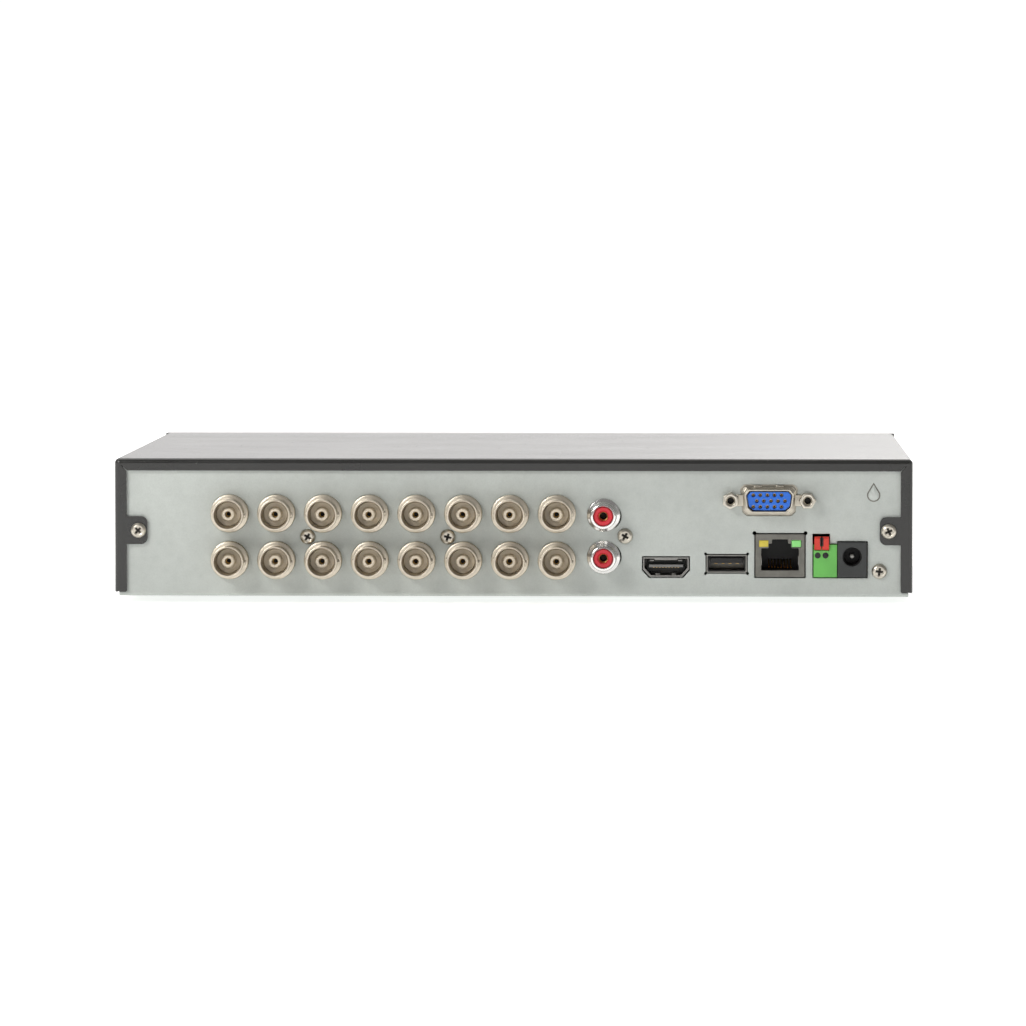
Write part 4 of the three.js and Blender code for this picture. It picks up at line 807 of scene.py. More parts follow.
def cross_screw():
    """A pan-head cross screw whose seat is at the origin, facing +Z."""
    s = sizes("recorder_screws")
    piece = Piece("cross_screw")
    crown = [
        (s.head * math.cos(a), s.height * (0.35 + 0.65 * math.sin(a)))
        for a in (math.radians(degree) for degree in (0, 20, 40, 60, 76))
    ]
    wall = s.slot_reach * 1.08
    profile = [(0, 0), (s.head - 0.15, 0), (s.head, 0.12), *crown[:4]]
    profile += [(wall, s.height - 0.02), (wall * 0.6, s.height - s.slot_depth), (0, s.height - s.slot_depth)]
    piece.lathe("screw", profile, (0, 0, 0), "z", 24)
    # Four shoulders stand between the wings of the cross
    for k in range(4):
        quarter = bmesh.new()
        a, b = s.slot / 2, wall * 1.02
        turn = math.pi / 2 * k
        outline = [(a, a), (b * 0.94, a), (b * 0.72, b * 0.72), (a, b * 0.94)]
        floor_z, top_z = s.height - s.slot_depth - 0.1, s.height * 0.985
        rings = []
        for z, shrink in ((floor_z, 1.0), (top_z - 0.08, 1.0), (top_z, 0.9)):
            ring = []
            for x, y in outline:
                x, y = a + (x - a) * shrink + (1 - shrink) * 0.3, a + (y - a) * shrink + (1 - shrink) * 0.3
                ring.append(quarter.verts.new((
                    x * math.cos(turn) - y * math.sin(turn), x * math.sin(turn) + y * math.cos(turn), z,
                )))
            rings.append(ring)
        for low_ring, high_ring in zip(rings, rings[1:]):
            for i in range(4):
                n = (i + 1) % 4
                quarter.faces.new((low_ring[i], low_ring[n], high_ring[n], high_ring[i]))
        quarter.faces.new(rings[0])
        quarter.faces.new(rings[-1])
        piece.take(quarter, "screw")
    # A dark cross at the floor of the recess is painted shade.
    dark = s.height - s.slot_depth + 0.35
    for wide, tall in ((s.slot_reach, s.slot / 2), (s.slot / 2, s.slot_reach)):
        piece.block("grime", (-wide, -tall, dark - 0.3), (wide, tall, dark), 0.08, 1)
    return piece.object()


def camera_jack():
    """A bayonet jack whose axis is +Z, with its seat at the origin."""
    s = sizes("recorder_jacks")
    piece = Piece("camera_jack")
    floor = 2.4
    piece.lathe("nickel", [
        (0, 0.1), (s.collar - 0.25, 0.1), (s.collar, 0.35), (s.collar, s.collar_reach - 0.5),
        (s.collar - 0.15, s.collar_reach - 0.15), (s.collar - 0.5, s.collar_reach),
        (s.neck + 0.5, s.collar_reach), (s.neck + 0.1, s.collar_reach + 0.15), (s.neck, s.collar_reach + 0.6),
        (s.neck, s.reach - 1.9), (s.neck + 0.12, s.reach - 1.65), (s.ring, s.reach - 1.35),
        (s.ring, s.reach - 0.3), (s.ring - 0.12, s.reach - 0.08), (s.ring - 0.3, s.reach),
        (s.bore + 0.55, s.reach), (s.bore + 0.38, s.reach - 0.12), (s.bore, s.reach - 2.2),
        (s.bore, floor + 0.4), (s.bore - 0.4, floor), (0, floor),
    ], (0, 0, 0), "z", 48)
    for side in (-1, 1):
        low, high = sorted((side * (s.neck - 0.6), side * 5.5))
        piece.rod("nickel", 0.9, low, high, (0, 0, s.reach - 4.6), "x", 14, 0.2)
    piece.lathe("insulator", [
        (0, floor - 0.2), (s.bore - 0.05, floor - 0.2), (s.bore - 0.05, 5.0), (s.bore - 0.3, 5.3),
        (s.boss + 0.15, 5.3), (s.boss, 5.5),
        (s.boss - 0.1, 8.2), (s.boss - 0.45, 8.8), (s.contact + 0.3, 8.95),
        (s.contact + 0.1, 8.85), (s.contact + 0.02, 8.6), (s.contact + 0.02, 4.0), (0, 4.0),
    ], (0, 0, 0), "z", 28)
    piece.lathe("contact", [
        (s.contact - 0.3, 4.2), (s.contact, 4.2), (s.contact, 5.4), (s.contact - 0.1, 5.5),
        (s.contact - 0.3, 5.4),
    ], (0, 0, 0), "z", 16)
    # A black disc at the foot of the contact's hole is painted shade.
    piece.rod("black", s.contact - 0.05, 4.05, 4.4, (0, 0, 0), "z", 12)
    return piece.object()


# ------------------------------------------------------------------ operators: the case


def relieved(low, high, radius, corners):
    """A rectangle's outline with a round relief in each of the corners named: 0 to 3 from the lower left."""
    points = oblong(low, high)
    outline = []
    for i, (x, y) in enumerate(points):
        if i not in corners:
            outline.append((x, y))
            continue
        start = math.pi * (0.5 + 0.5 * i)
        for k in range(13):
            angle = start + 1.5 * math.pi * k / 12
            outline.append((x + radius * math.cos(angle), y + radius * math.sin(angle)))
    return outline


def opening(node, gap=0.3):
    """Lower and upper corners of the hole that clears a connector in the rear panel."""
    low, high = cad(node)
    return (low.x - gap, low.z - gap), (high.x + gap, high.z + gap)


def drop(centre, radius, height, grow=0.0):
    """A drop's outline, point upwards, grown outwards by a margin."""
    x, z = centre
    ball = z - height / 2 + radius
    arc = [math.radians(160 + 220 * k / 20) for k in range(21)]
    outline = [(x + (radius + grow) * math.cos(a), ball + (radius + grow) * math.sin(a)) for a in arc]
    tip = z + height / 2 + grow * 1.6
    return outline + [(x + 0.12, tip - 0.1), (x, tip), (x - 0.12, tip - 0.1)]


class RECORDER_OT_tray(bpy.types.Operator):
    """Zinc-plated tray: connector panel, slotted floor, flanges, walls and standoffs"""

    bl_idname = "recorder.tray"
    bl_label = "Tray"

    def execute(self, context):
        s = sizes("recorder_sheet")
        piece = Piece("tray")
        self.panel(piece, s)
        self.floor(piece, s)
        self.walls(piece, s)
        self.seats(piece)
        piece.done(["chassis_tray"])
        return {"FINISHED"}

    def panel(self, piece, s):
        """The connector panel, with a hole for each connector and the pressed earth mark."""
        camera, audio, gap = 5.2, 4.45, 0.3
        holes = [circle((middle(n).x, middle(n).z), camera, 24) for n in JACKS]
        holes += [circle((middle(n).x, middle(n).z), audio, 24) for n in AUDIO_JACKS]
        holes.append(socket_outline(-0.3))
        holes.append(relieved(*opening("rear_usb_socket"), s.relief, (0, 1, 2, 3)))
        holes.append(relieved(*opening("network_socket"), s.relief * 1.4, (2, 3)))
        jack, block = cad("power_jack"), cad("terminal_block")
        levers = [cad(f"terminal_lever_{i}") for i in (1, 2)]
        x0, x1 = min(low.x for low, _ in levers) - gap, max(high.x for _, high in levers) + gap
        foot, top = jack[0].z - gap, levers[0][1].z + 0.9
        edge = max(x1, block[1].x + gap)
        holes.append([
            (jack[0].x - gap, foot), (edge, foot), (edge, top), (x0, top), (x0, block[1].z + gap),
            (block[0].x - 0.1, block[1].z + gap), (block[0].x - 0.1, jack[1].z + gap),
            (jack[0].x - gap, jack[1].z + gap),
        ])
        holes.append(monitor_outline(-1.3))
        low, high = TRAY_LOW, TRAY_HIGH
        outline = oblong((low.x, low.z + 0.9), (high.x, high.z))
        piece.plate("zinc", outline, PANEL_Y - SHEET, PANEL_Y, holes, bevel=s.edge)
        # The fold at the panel's foot
        arc = [math.pi / 2 * k / 8 for k in range(9)]
        fold = [(PANEL_Y - 1 + math.cos(t), low.z + 1 - math.sin(t)) for t in arc]
        fold = [(PANEL_Y, low.z + 1.5), *fold, (PANEL_Y - 1.6, low.z), (PANEL_Y - 1.6, low.z + 0.9)]
        fold += [(PANEL_Y - 0.9, low.z + 0.9), (PANEL_Y - 0.9, low.z + 1.5)]
        piece.plate("zinc", [(y + 0.004, z) for y, z in fold], low.x + 0.1, high.x - 0.1, (), "yz", 0)
        # The earth mark is pressed outwards in steps; the flat ring of dark tin round it is painted shade that
        # stands for a groove
        spot = (low.x + 11.4, low.z + 34.1)
        piece.plate("can", drop(spot, 2.1, 6.0, 0.1), PANEL_Y - 0.5, PANEL_Y + 0.03, bevel=0.02)
        for grow, rise in ((-0.35, 0.16), (-0.65, 0.28), (-0.95, 0.36), (-1.25, 0.4)):
            piece.plate("zinc", drop(spot, 2.1, 6.0, grow), PANEL_Y - 0.5, PANEL_Y + rise, bevel=0.1)

    def floor(self, piece, s):
        """The floor, with its two groups of slots and the folds at its edges."""
        low, high = TRAY_LOW, TRAY_HIGH
        front = BOARD_LOW.y + 24.0
        first, pitch, half, length = 40.0, 8.0, 1.5, 22.0
        holes = []
        for side in (-1, 1):
            for k in range(6):
                x = side * (first + pitch * k)
                holes.append(oblong((x - half, front), (x + half, front + length), half - 0.01))
        outline = oblong((low.x + 0.4, low.y), (high.x - 0.4, PANEL_Y - 1.3))
        piece.plate("zinc", outline, low.z, low.z + SHEET, holes, "xy", s.edge)
        for side in (-1, 1):
            x = sorted((side * high.x, side * (high.x - SHEET)))
            piece.block("zinc", (x[0], low.y, low.z), (x[1], PANEL_Y - 0.3, low.z + 10), 0.4, 3)

    def walls(self, piece, s):
        """The front wall with the slots for ribbon and hooks, and the wall that carries the fan."""
        low, high = TRAY_LOW, TRAY_HIGH
        ribbon = 100.0
        slots = [oblong((ribbon - 11, 11), (ribbon + 11, 23), 0.8)]
        slots += [
            oblong((x - 3.3, z - 0.3), (x + 3.3, z + 2.3), 0.5) for x in (-122, 122) for z in (7.5, 38)
        ]
        outline = oblong((low.x, low.z + 0.4), (high.x, high.z - 4), 0.3)
        piece.plate("zinc", outline, low.y, low.y + SHEET, slots, bevel=s.edge)
        frame_low, frame_high = cad("fan_frame")
        y, z = middle("fan_frame").y, middle("fan_frame").z
        mouth, screw, spread = 18.8, 1.8, 16
        holes = [circle((y, z), mouth, 48)]
        holes += [circle((y + a * spread, z + b * spread), screw, 16) for a in (-1, 1) for b in (-1, 1)]
        outline = oblong((frame_low.y - 2, low.z + 0.4), (frame_high.y + 2, high.z), 0.3)
        piece.plate("zinc", outline, high.x - SHEET, high.x, holes, "yz", s.edge)

    def seats(self, piece):
        """Standoffs under the main board and pads under the drive."""
        for x in (-116, 0, 116):
            for y in (BOARD_LOW.y + 5.5, BOARD_LOW.y + 60.5):
                piece.rod("zinc", 3.0, TRAY_LOW.z + 0.6, BOARD_LOW.z, (x, y, 0), "z", 24, 0.3)
        drive = cad("drive_base")[0]
        for x in (28.5, 104.7):
            for y in (4.5, 97.1):
                piece.rod("zinc", 4.5, TRAY_LOW.z + 0.6, drive.z, (drive.x + x, drive.y + y, 0), "z", 28, 0.4)


class RECORDER_OT_cover(bpy.types.Operator):
    """Painted cover: folded top and sides with cut slots, and the rear flange with its two screw tabs"""

    bl_idname = "recorder.cover"
    bl_label = "Cover"

    def execute(self, context):
        s = sizes("recorder_sheet")
        side, top, low = COVER_HIGH.x, COVER_HIGH.z, COVER_LOW.z
        front, rear = COVER_LOW.y, COVER_HIGH.y
        bend = rear - s.bend
        shell = Piece("cover_shell")
        shell.plate("paint", self.section(side, top, low, s.bend), front, bend, (), "xz", 0)
        self.cut_slots(shell.object(), front, low)
        flange = Piece("cover_flange")
        self.bends(flange, side, top, low, rear, s.bend)
        self.flanges(flange, side, top, low, rear, s)
        flange.done([], "cover")
        return {"FINISHED"}

    def section(self, side, top, low, bend):
        """The folded sheet's section across the case, with round outer and inner corners."""
        right_out, right_in = (
            [(side - bend + reach * math.sin(t), top - bend + reach * math.cos(t)) for t in self.fold()]
            for reach in (bend, bend - SHEET)
        )
        ease = 0.25
        outer = right_out + [
            (side, low + ease), (side - ease, low), (side - SHEET + ease, low), (side - SHEET, low + ease),
        ]
        return [(-x, z) for x, z in reversed(outer)] + outer + right_in[::-1] + [(-x, z) for x, z in right_in]

    def fold(self, steps=10):
        """Angles along a quarter turn."""
        return [math.pi / 2 * k / steps for k in range(steps + 1)]

    def cut_slots(self, shell, front, low):
        """Cuts the rows of slots through both sides with a node tree."""
        slot = Piece("slot")
        width, tall, pitch, count = 3.0, 20.0, 7.5, 11
        inset, sill, overrun = 13.0, 11.7, 5
        outline = oblong((-width / 2, -tall / 2), (width / 2, tall / 2), width / 2 - 0.01)
        slot.plate("paint", outline, -COVER_HIGH.x - overrun, COVER_HIGH.x + overrun, (), "yz", 0)
        cutter = slot.object()
        repeat = Repeat("side_slots", ["paint"])
        shape = repeat.input("Shape", "NodeSocketObject")
        start = (0.0, (front + inset + width / 2) * MM, (low + sill + tall / 2) * MM)
        line = repeat.node(
            "GeometryNodeMeshLine", {"mode": "OFFSET", "count_mode": "TOTAL"},
            Count=repeat.input("Slots", "NodeSocketInt", count),
            Start_Location=repeat.input("First", "NodeSocketVector", start),
            Offset=repeat.input("Pitch", "NodeSocketVector", (0.0, pitch * MM, 0.0)),
        )
        source = repeat.node("GeometryNodeObjectInfo", Object=shape, output=4)
        slots = repeat.node("GeometryNodeInstanceOnPoints", Points=line, Instance=source)
        slots = repeat.node("GeometryNodeRealizeInstances", Geometry=slots)
        cut = repeat.node(
            "GeometryNodeMeshBoolean", {"operation": "DIFFERENCE", "solver": "EXACT"},
            _0=repeat.enter.outputs["Geometry"], _1=slots,
        )
        whole = repeat.node("GeometryNodeRealizeInstances", Geometry=cut)
        material = repeat.input("Finish", "NodeSocketMaterial", SHELF["paint"])
        whole = repeat.node("GeometryNodeSetMaterial", Geometry=whole, Material=material)
        repeat.tree.links.new(whole, repeat.leave.inputs[0])
        made = repeat.run("cover", cutter, shell)
        even_shading(made)
        settle(made, ["top_cover"], "cover")

    def bends(self, piece, side, top, low, rear, bend):
        """Folds from the top and sides into the rear flange, with a ball in each corner."""
        inner = bend - SHEET
        y, z = rear - bend, top - bend
        arc = self.fold()
        outline = [(y + bend * math.sin(t), z + bend * math.cos(t)) for t in arc]
        outline += [(y + inner * math.sin(t), z + inner * math.cos(t)) for t in reversed(arc)]
        piece.plate("paint", outline, -side + bend, side - bend, (), "yz", 0)
        for way in (-1, 1):
            x = side - bend
            outline = [(way * (x + bend * math.cos(t)), y + bend * math.sin(t)) for t in arc]
            outline += [(way * (x + inner * math.cos(t)), y + inner * math.sin(t)) for t in reversed(arc)]
            piece.plate("paint", outline, low + 0.2, z, (), "xy", 0)
            ball = bmesh.new()
            bmesh.ops.create_uvsphere(
                ball, u_segments=32, v_segments=20, radius=bend, matrix=Matrix.Translation((way * x, y, z))
            )
            for face in ball.faces:
                face.smooth = True
            piece.take(ball, "paint")

    def flanges(self, piece, side, top, low, rear, s):
        """Flat rear flanges: one along the top, and one down each side with its tab."""
        y0, y1 = rear - SHEET, rear
        outer_x, outer_z = side - s.bend, top - s.bend
        inner_x, inner_z = side - s.flange + 0.1, top - s.flange
        gap = s.mitre
        piece.plate("paint", [
            (-outer_x, outer_z), (-inner_x + gap, inner_z), (inner_x - gap, inner_z), (outer_x, outer_z),
        ], y0, y1, (), "xz", 0)
        tab_x = side - s.tab_reach
        tab_low, tab_high = (middle(COVER_SCREWS[0]).z + w * s.tab_height / 2 for w in (-1, 1))
        neck = rounded(
            [(outer_x, tab_high), (tab_x, tab_high), (tab_x, tab_low), (outer_x, tab_low)], s.tab_radius, 6
        )[7:21]
        for way in (-1, 1):
            outline = [(outer_x, outer_z - gap), (inner_x, inner_z - gap), (inner_x, tab_high), *neck]
            outline += [(inner_x, tab_low), (inner_x, low + 0.4), (inner_x + 0.4, low), (outer_x, low)]
            piece.plate("paint", [(way * x, z) for x, z in outline], y0, y1, (), "xz", 0)


class RECORDER_OT_screws(bpy.types.Operator):
    """Cross-head screws of the cover and of the connector panel"""

    bl_idname = "recorder.screws"
    bl_label = "Screws"

    def execute(self, context):
        s = sizes("recorder_screws")
        for name, nodes, body, seed in (
            ("cover_screws", COVER_SCREWS, "cover", 3),
            ("panel_screws", CASE_SCREWS, "case", 8),
        ):
            places = []
            for node in nodes:
                centre, tip = middle(node), cad(node)[1].y
                places.append(((centre.x, tip - s.height - 0.04, centre.z), (-90, 0, 0)))
            made = scattered(name, cross_screw(), ["screw", "grime"], places, spin=60, seed=seed)
            settle(made, nodes, body)
        return {"FINISHED"}


# ------------------------------------------------------------------ operators: the connectors


class RECORDER_OT_camera_jacks(bpy.types.Operator):
    """Sixteen bayonet jacks in two rows, copied over a grid"""

    bl_idname = "recorder.camera_jacks"
    bl_label = "Camera jacks"

    def execute(self, context):
        columns, rows = 8, 2
        axes = []
        for node in JACKS:
            low, high = cad(node)
            upper = node in JACKS[:columns]
            axes.append(((low.x + high.x) / 2, high.z - COLLAR_IN_JACK if upper else low.z + COLLAR_IN_JACK))
        first, last = axes[0], axes[-1]
        repeat = Repeat("camera_jacks", ["nickel", "insulator", "contact", "black"])
        grid = repeat.node(
            "GeometryNodeMeshGrid",
            Vertices_X=repeat.input("Columns", "NodeSocketInt", columns),
            Vertices_Y=repeat.input("Rows", "NodeSocketInt", rows),
            Size_X=repeat.input("Width", "NodeSocketFloat", abs(last[0] - first[0]) * MM),
            Size_Y=repeat.input("Height", "NodeSocketFloat", abs(last[1] - first[1]) * MM),
        )
        centre = ((first[0] + last[0]) / 2 * MM, PANEL_Y * MM, (first[1] + last[1]) / 2 * MM)
        upright = repeat.node(
            "GeometryNodeTransform", Geometry=grid, Rotation=(math.radians(-90), 0, 0),
            Translation=repeat.input("Centre", "NodeSocketVector", centre),
        )
        spread = repeat.input("Spin", "NodeSocketFloat", math.radians(7))
        seed = repeat.input("Seed", "NodeSocketInt", 4)
        back = repeat.node("ShaderNodeMath", {"operation": "MULTIPLY"}, _0=spread, _1=-1.0)
        angle = repeat.node(
            "FunctionNodeRandomValue", {"data_type": "FLOAT"}, output=1, _2=back, _3=spread, Seed=seed
        )
        turn = repeat.node("ShaderNodeCombineXYZ", X=math.radians(-90), Y=angle)
        repeat.copies(upright, turn)
        made = repeat.run("camera_jacks", camera_jack())
        settle(made, JACKS)
        return {"FINISHED"}


class RECORDER_OT_audio_jacks(bpy.types.Operator):
    """Two audio jacks: plated flare and barrel, red insert with its centre hole"""

    bl_idname = "recorder.audio_jacks"
    bl_label = "Audio jacks"

    def execute(self, context):
        s = sizes("recorder_audio")
        shells = Piece("audio_jacks")
        rings = Piece("audio_inserts")
        for node in AUDIO_INSERTS:
            x, _, z = middle(node)
            spot = (x, PANEL_Y, z)
            shells.lathe("chrome", [
                (s.hole, 0.1), (s.flare - 0.1, 0.1), (s.flare, 0.2), (s.flare, 0.75),
                (s.flare - 0.12, 0.95), (s.flare - 0.35, 1.1), (s.barrel + 0.25, 1.5), (s.barrel + 0.05, 1.8),
                (s.barrel, 2.3), (s.barrel, s.reach - 0.5), (s.barrel - 0.15, s.reach - 0.2),
                (s.barrel - 0.4, s.reach - 0.05), (s.insert + 0.3, s.reach - 0.05),
                (s.insert + 0.12, s.reach - 0.25), (s.insert + 0.05, s.reach - 1.4),
                (s.insert + 0.05, 1.2), (s.hole, 1.2),
            ], spot, "y", 48)
            rings.lathe("red", [
                (s.hole, 1.4), (s.insert - 0.02, 1.4), (s.insert - 0.02, s.reach - 0.75),
                (s.insert - 0.25, s.reach - 0.52), (s.hole + 0.35, s.reach - 0.52),
                (s.hole, s.reach - 0.9),
            ], spot, "y", 40)
            rings.lathe("contact", [
                (s.hole - 0.35, 1.5), (s.hole - 0.02, 1.5), (s.hole - 0.02, s.reach - 3.2),
                (s.hole - 0.35, s.reach - 3.4),
            ], spot, "y", 24)
            # A black disc deep in the centre hole is painted shade.
            rings.rod("black", s.hole - 0.3, 1.3 + PANEL_Y, 1.9 + PANEL_Y, (x, 0, z), "y", 20)
        for node in AUDIO_JACKS:
            low, high = cad(node)
            shells.block("dark", low, (high.x, PANEL_Y - SHEET - 0.3, high.z), 0.4)
        shells.done(AUDIO_JACKS)
        rings.done(AUDIO_INSERTS)
        return {"FINISHED"}


def socket_outline(inset, dip=0.0):
    """The display socket's outline, wide at the top with a chamfered foot, at an inset from its shell."""
    low, high = cad("hdmi_socket")
    x0, x1, z0, z1 = low.x + inset, high.x - inset, low.z + inset, high.z - inset
    foot, shoulder = 2.2, 2.4
    outline = [(x0 + foot, z0), (x1 - foot, z0), (x1, z0 + shoulder), (x1, z1)]
    if dip:
        centre = (x0 + x1) / 2
        outline += [
            (centre + 3.9, z1), (centre + 3.5, z1 - dip), (centre - 3.5, z1 - dip), (centre - 3.9, z1),
        ]
    return outline + [(x0, z1), (x0, z0 + shoulder)]


class RECORDER_OT_display_socket(bpy.types.Operator):
    """Display socket: bent shell with chamfered foot, tongue and contact springs"""

    bl_idname = "recorder.display_socket"
    bl_label = "Display socket"

    def execute(self, context):
        low, high = cad("hdmi_socket")
        piece = Piece("display_socket")
        back = low.y + 1.2
        piece.plate(
            "dim_shell", socket_outline(0), back, PANEL_Y - 0.05, [socket_outline(0.5, 0.45)], bevel=0.1
        )
        piece.plate("dim_shell", socket_outline(0), low.y, back)
        cx, cz = (low.x + high.x) / 2, (low.z + high.z) / 2
        piece.block("grey", (cx - 5.6, back - 0.2, cz - 0.15), (cx + 5.6, PANEL_Y - 0.9, cz + 0.75), 0.12)
        piece.block("dark", (cx - 6.2, back - 0.1, cz - 1.8), (cx + 6.2, back + 5.2, cz + 2.1), 0.2)
        for k in range(9):
            x = cx - 4 + k
            piece.block("contact", (x - 0.2, back, cz - 0.32), (x + 0.2, PANEL_Y - 1.2, cz - 0.1), 0.04, 1)
        for x, z in (
            (cx - 4.6, high.z - 1.1), (cx + 4.6, high.z - 1.1),
            (cx - 2.6, low.z + 0.75), (cx + 2.6, low.z + 0.75),
        ):
            piece.block("dim_shell", (x - 0.7, back + 2.5, z - 0.25), (x + 0.7, PANEL_Y - 1.2, z + 0.25), 0.12)
        piece.done(["hdmi_socket"])
        return {"FINISHED"}


class RECORDER_OT_usb_sockets(bpy.types.Operator):
    """Rear and front data sockets: tin shell, black liner, tongue and contacts"""

    bl_idname = "recorder.usb_sockets"
    bl_label = "Data sockets"

    def execute(self, context):
        for node, way in (("rear_usb_socket", 1), ("front_usb_socket", -1)):
            low, high = cad(node)
            mouth, back = (high.y, low.y) if way > 0 else (low.y, high.y)
            piece = Piece(node.replace("usb", "data"))

            def span(deep, shallow):
                """A stretch of depth, counted inwards from the mouth."""
                return sorted((mouth - way * deep, mouth - way * shallow))

            depth = abs(back - mouth)
            x, z = (low.x, high.x), (low.z, high.z)
            for finish, outer, inner, shallow in (("tin", 0.0, 0.35, 0.05), ("black", 0.36, 0.75, 0.5)):
                piece.plate(
                    finish, oblong((x[0] + outer, z[0] + outer), (x[1] - outer, z[1] - outer), 0.35),
                    *span(depth - 1.0, shallow),
                    [oblong((x[0] + inner, z[0] + inner), (x[1] - inner, z[1] - inner), 0.2)], bevel=0.08,
                )
            piece.plate("tin", oblong((x[0], z[0]), (x[1], z[1]), 0.35), *span(depth, depth - 0.9))
            tongue = span(depth - 0.95, 1.2)
            top = z[1] - 1.05
            piece.block("black", (x[0] + 1.1, tongue[0], top - 1.75), (x[1] - 1.1, tongue[1], top), 0.2)
            for k in range(4):
                cx = (x[0] + x[1]) / 2 + (k - 1.5) * 2.3
                y = span(depth - 2.0, 2.0)
                piece.block("contact", (cx - 0.5, y[0], top - 1.95), (cx + 0.5, y[1], top - 1.7), 0.05, 1)
            piece.done([node])
        return {"FINISHED"}


class RECORDER_OT_network_socket(bpy.types.Operator):
    """Network socket: tin can, black cavity with its latch notch, two lenses and eight contacts"""

    bl_idname = "recorder.network_socket"
    bl_label = "Network socket"

    def execute(self, context):
        low, high = cad("network_socket")
        cx = (low.x + high.x) / 2
        face = high.y
        floor, shoulder, roof, notch = low.z + 2.2, low.z + 9.4, low.z + 10.9, low.z + 12.3
        cavity = rounded([
            (cx - 6.1, floor), (cx + 6.1, floor), (cx + 6.1, shoulder), (cx + 3.7, shoulder),
            (cx + 3.7, roof), (cx + 2.6, roof), (cx + 2.6, notch), (cx - 2.6, notch),
            (cx - 2.6, roof), (cx - 3.7, roof), (cx - 3.7, shoulder), (cx - 6.1, shoulder),
        ], 0.25, 2)
        lenses = [((cx + side * 5.3), low.z + 10.9) for side in (1, -1)]
        seats = [oblong((x - 1.65, z - 1.2), (x + 1.65, z + 1.2), 0.3) for x, z in lenses]
        can = oblong((low.x, low.z), (high.x, high.z), 0.3)
        piece = Piece("network_socket")
        piece.plate("can", can, face - 0.35, face, [cavity, *seats], bevel=0.1)
        piece.plate(
            "can", can, low.y, face - 0.36,
            [oblong((low.x + 0.3, low.z + 0.3), (high.x - 0.3, high.z - 0.3))], bevel=0.05,
        )
        inside = oblong((low.x + 0.32, low.z + 0.32), (high.x - 0.32, high.z - 0.32))
        piece.plate("black", inside, face - 13.0, face - 0.38, [cavity, *seats], bevel=0.05)
        piece.plate("black", inside, low.y + 0.1, face - 13.02)
        for (x, z), finish in zip(lenses, ("amber", "lime")):
            piece.block(finish, (x - 1.6, face - 3.0, z - 1.15), (x + 1.6, face + 0.0, z + 1.15), 0.35, 3)
        for k in range(8):
            x = cx + (k - 3.5) * 1.02
            piece.tube("contact", [
                (x, face - 12.9, floor + 0.4), (x, face - 7.2, floor + 0.4),
                (x, face - 6.6, floor + 0.7), (x, face - 11.5, floor + 2.8),
            ], 0.22, 6)
        for side in (-1, 1):
            x = cx + side * 6.1
            piece.block("tin", (x - 0.18, face - 8, floor + 1.6), (x + 0.18, face - 1.2, floor + 4.4), 0.1)
        piece.done(["network_socket"])
        return {"FINISHED"}


class RECORDER_OT_terminal(bpy.types.Operator):
    """Green terminal block with its round wire entries, and its two red levers"""

    bl_idname = "recorder.terminal"
    bl_label = "Terminal"

    def execute(self, context):
        block = Piece("terminal_block")
        block.node("green", "terminal_block")
        face = cad("terminal_block")[1].y
        for lever in ("terminal_lever_1", "terminal_lever_2"):
            x, z = middle(lever).x, cad("terminal_block")[0].z + 7.1
            block.lathe("green", [
                (0.9, -0.4), (1.24, -0.4), (1.24, 0.02), (1.12, 0.04), (1.0, 0.03),
            ], (x, face, z), "y", 24)
            # A black disc flush with each wire entry is painted shade that stands for the hole's depth.
            block.rod("black", 0.99, face - 0.4, face + 0.015, (x, 0, z), "y", 20, 0.02)
            arm = Piece(lever)
            arm.node("lever", lever)
            low, high = cad(lever)
            # A thin black strip on the lever's face, along the edge towards the other lever, is painted shade;
            # nothing is cut there.
            other = middle("terminal_lever_2" if lever.endswith("1") else "terminal_lever_1").x
            near = low.x if other < x else high.x
            notch = sorted((near, near + (0.42 if other < x else -0.42)))
            arm.block(
                "black", (notch[0], high.y - 0.6, high.z - 3.1),
                (notch[1], high.y + 0.015, high.z - 0.2), 0.02, 1
            )
            arm.done([lever], body=lever, edge=0.18)
        block.done(["terminal_block"], edge=0.12)
        return {"FINISHED"}


class RECORDER_OT_power_jack(bpy.types.Operator):
    """Power jack: square dark moulding, round socket and centre pin"""

    bl_idname = "recorder.power_jack"
    bl_label = "Power jack"

    def execute(self, context):
        low, high = cad("power_jack")
        x, z = (low.x + high.x) / 2, low.z + 6.7
        radius, deep = 3.1, 9.0
        outline = oblong((low.x, low.z), (high.x, high.z), 0.25)
        piece = Piece("power_jack")
        piece.plate("dark", outline, high.y - deep, high.y, [circle((x, z), radius, 40)], bevel=0.22)
        piece.plate("dark", outline, low.y, high.y - deep - 0.02)
        # The black sleeve in the bore and the black disc at its foot, darker than the moulding, are painted
        # shade.
        piece.lathe("black", [
            (radius - 0.35, -deep), (radius - 0.02, -deep), (radius - 0.02, -0.7), (radius - 0.3, -1.0),
        ], (x, high.y, z), "y", 40)
        piece.rod("black", radius - 0.3, high.y - deep - 0.01, high.y - deep + 0.3, (x, 0, z), "y", 32)
        piece.rod("tin", 0.75, high.y - deep, high.y - 3.4, (x, 0, z), "y", 20, 0.4)
        piece.done(["power_jack"])
        return {"FINISHED"}


def monitor_outline(inset):
    """The D of the monitor socket, wide side up, at an inset from its shell."""
    centre = middle("vga_insert")
    low, high = cad("vga_insert")
    grow = 0.8 - inset
    w, h, cut, taper = (high.x - low.x) / 2 + grow - 0.15, (high.z - low.z) / 2 + grow - 0.5, 1.3, 1.0

    def side(z):
        """Half the width at a height, which leans in towards the narrow side."""
        return w - taper * (h - z) / (2 * h)

    right = [(side(-h) - cut, -h), (side(cut - h), cut - h), (side(h - cut), h - cut), (side(h) - cut, h)]
    left = [(-x, z) for x, z in reversed(right)]
    return rounded([(centre.x + x, centre.z + z) for x, z in right + left], 0.6, 3)


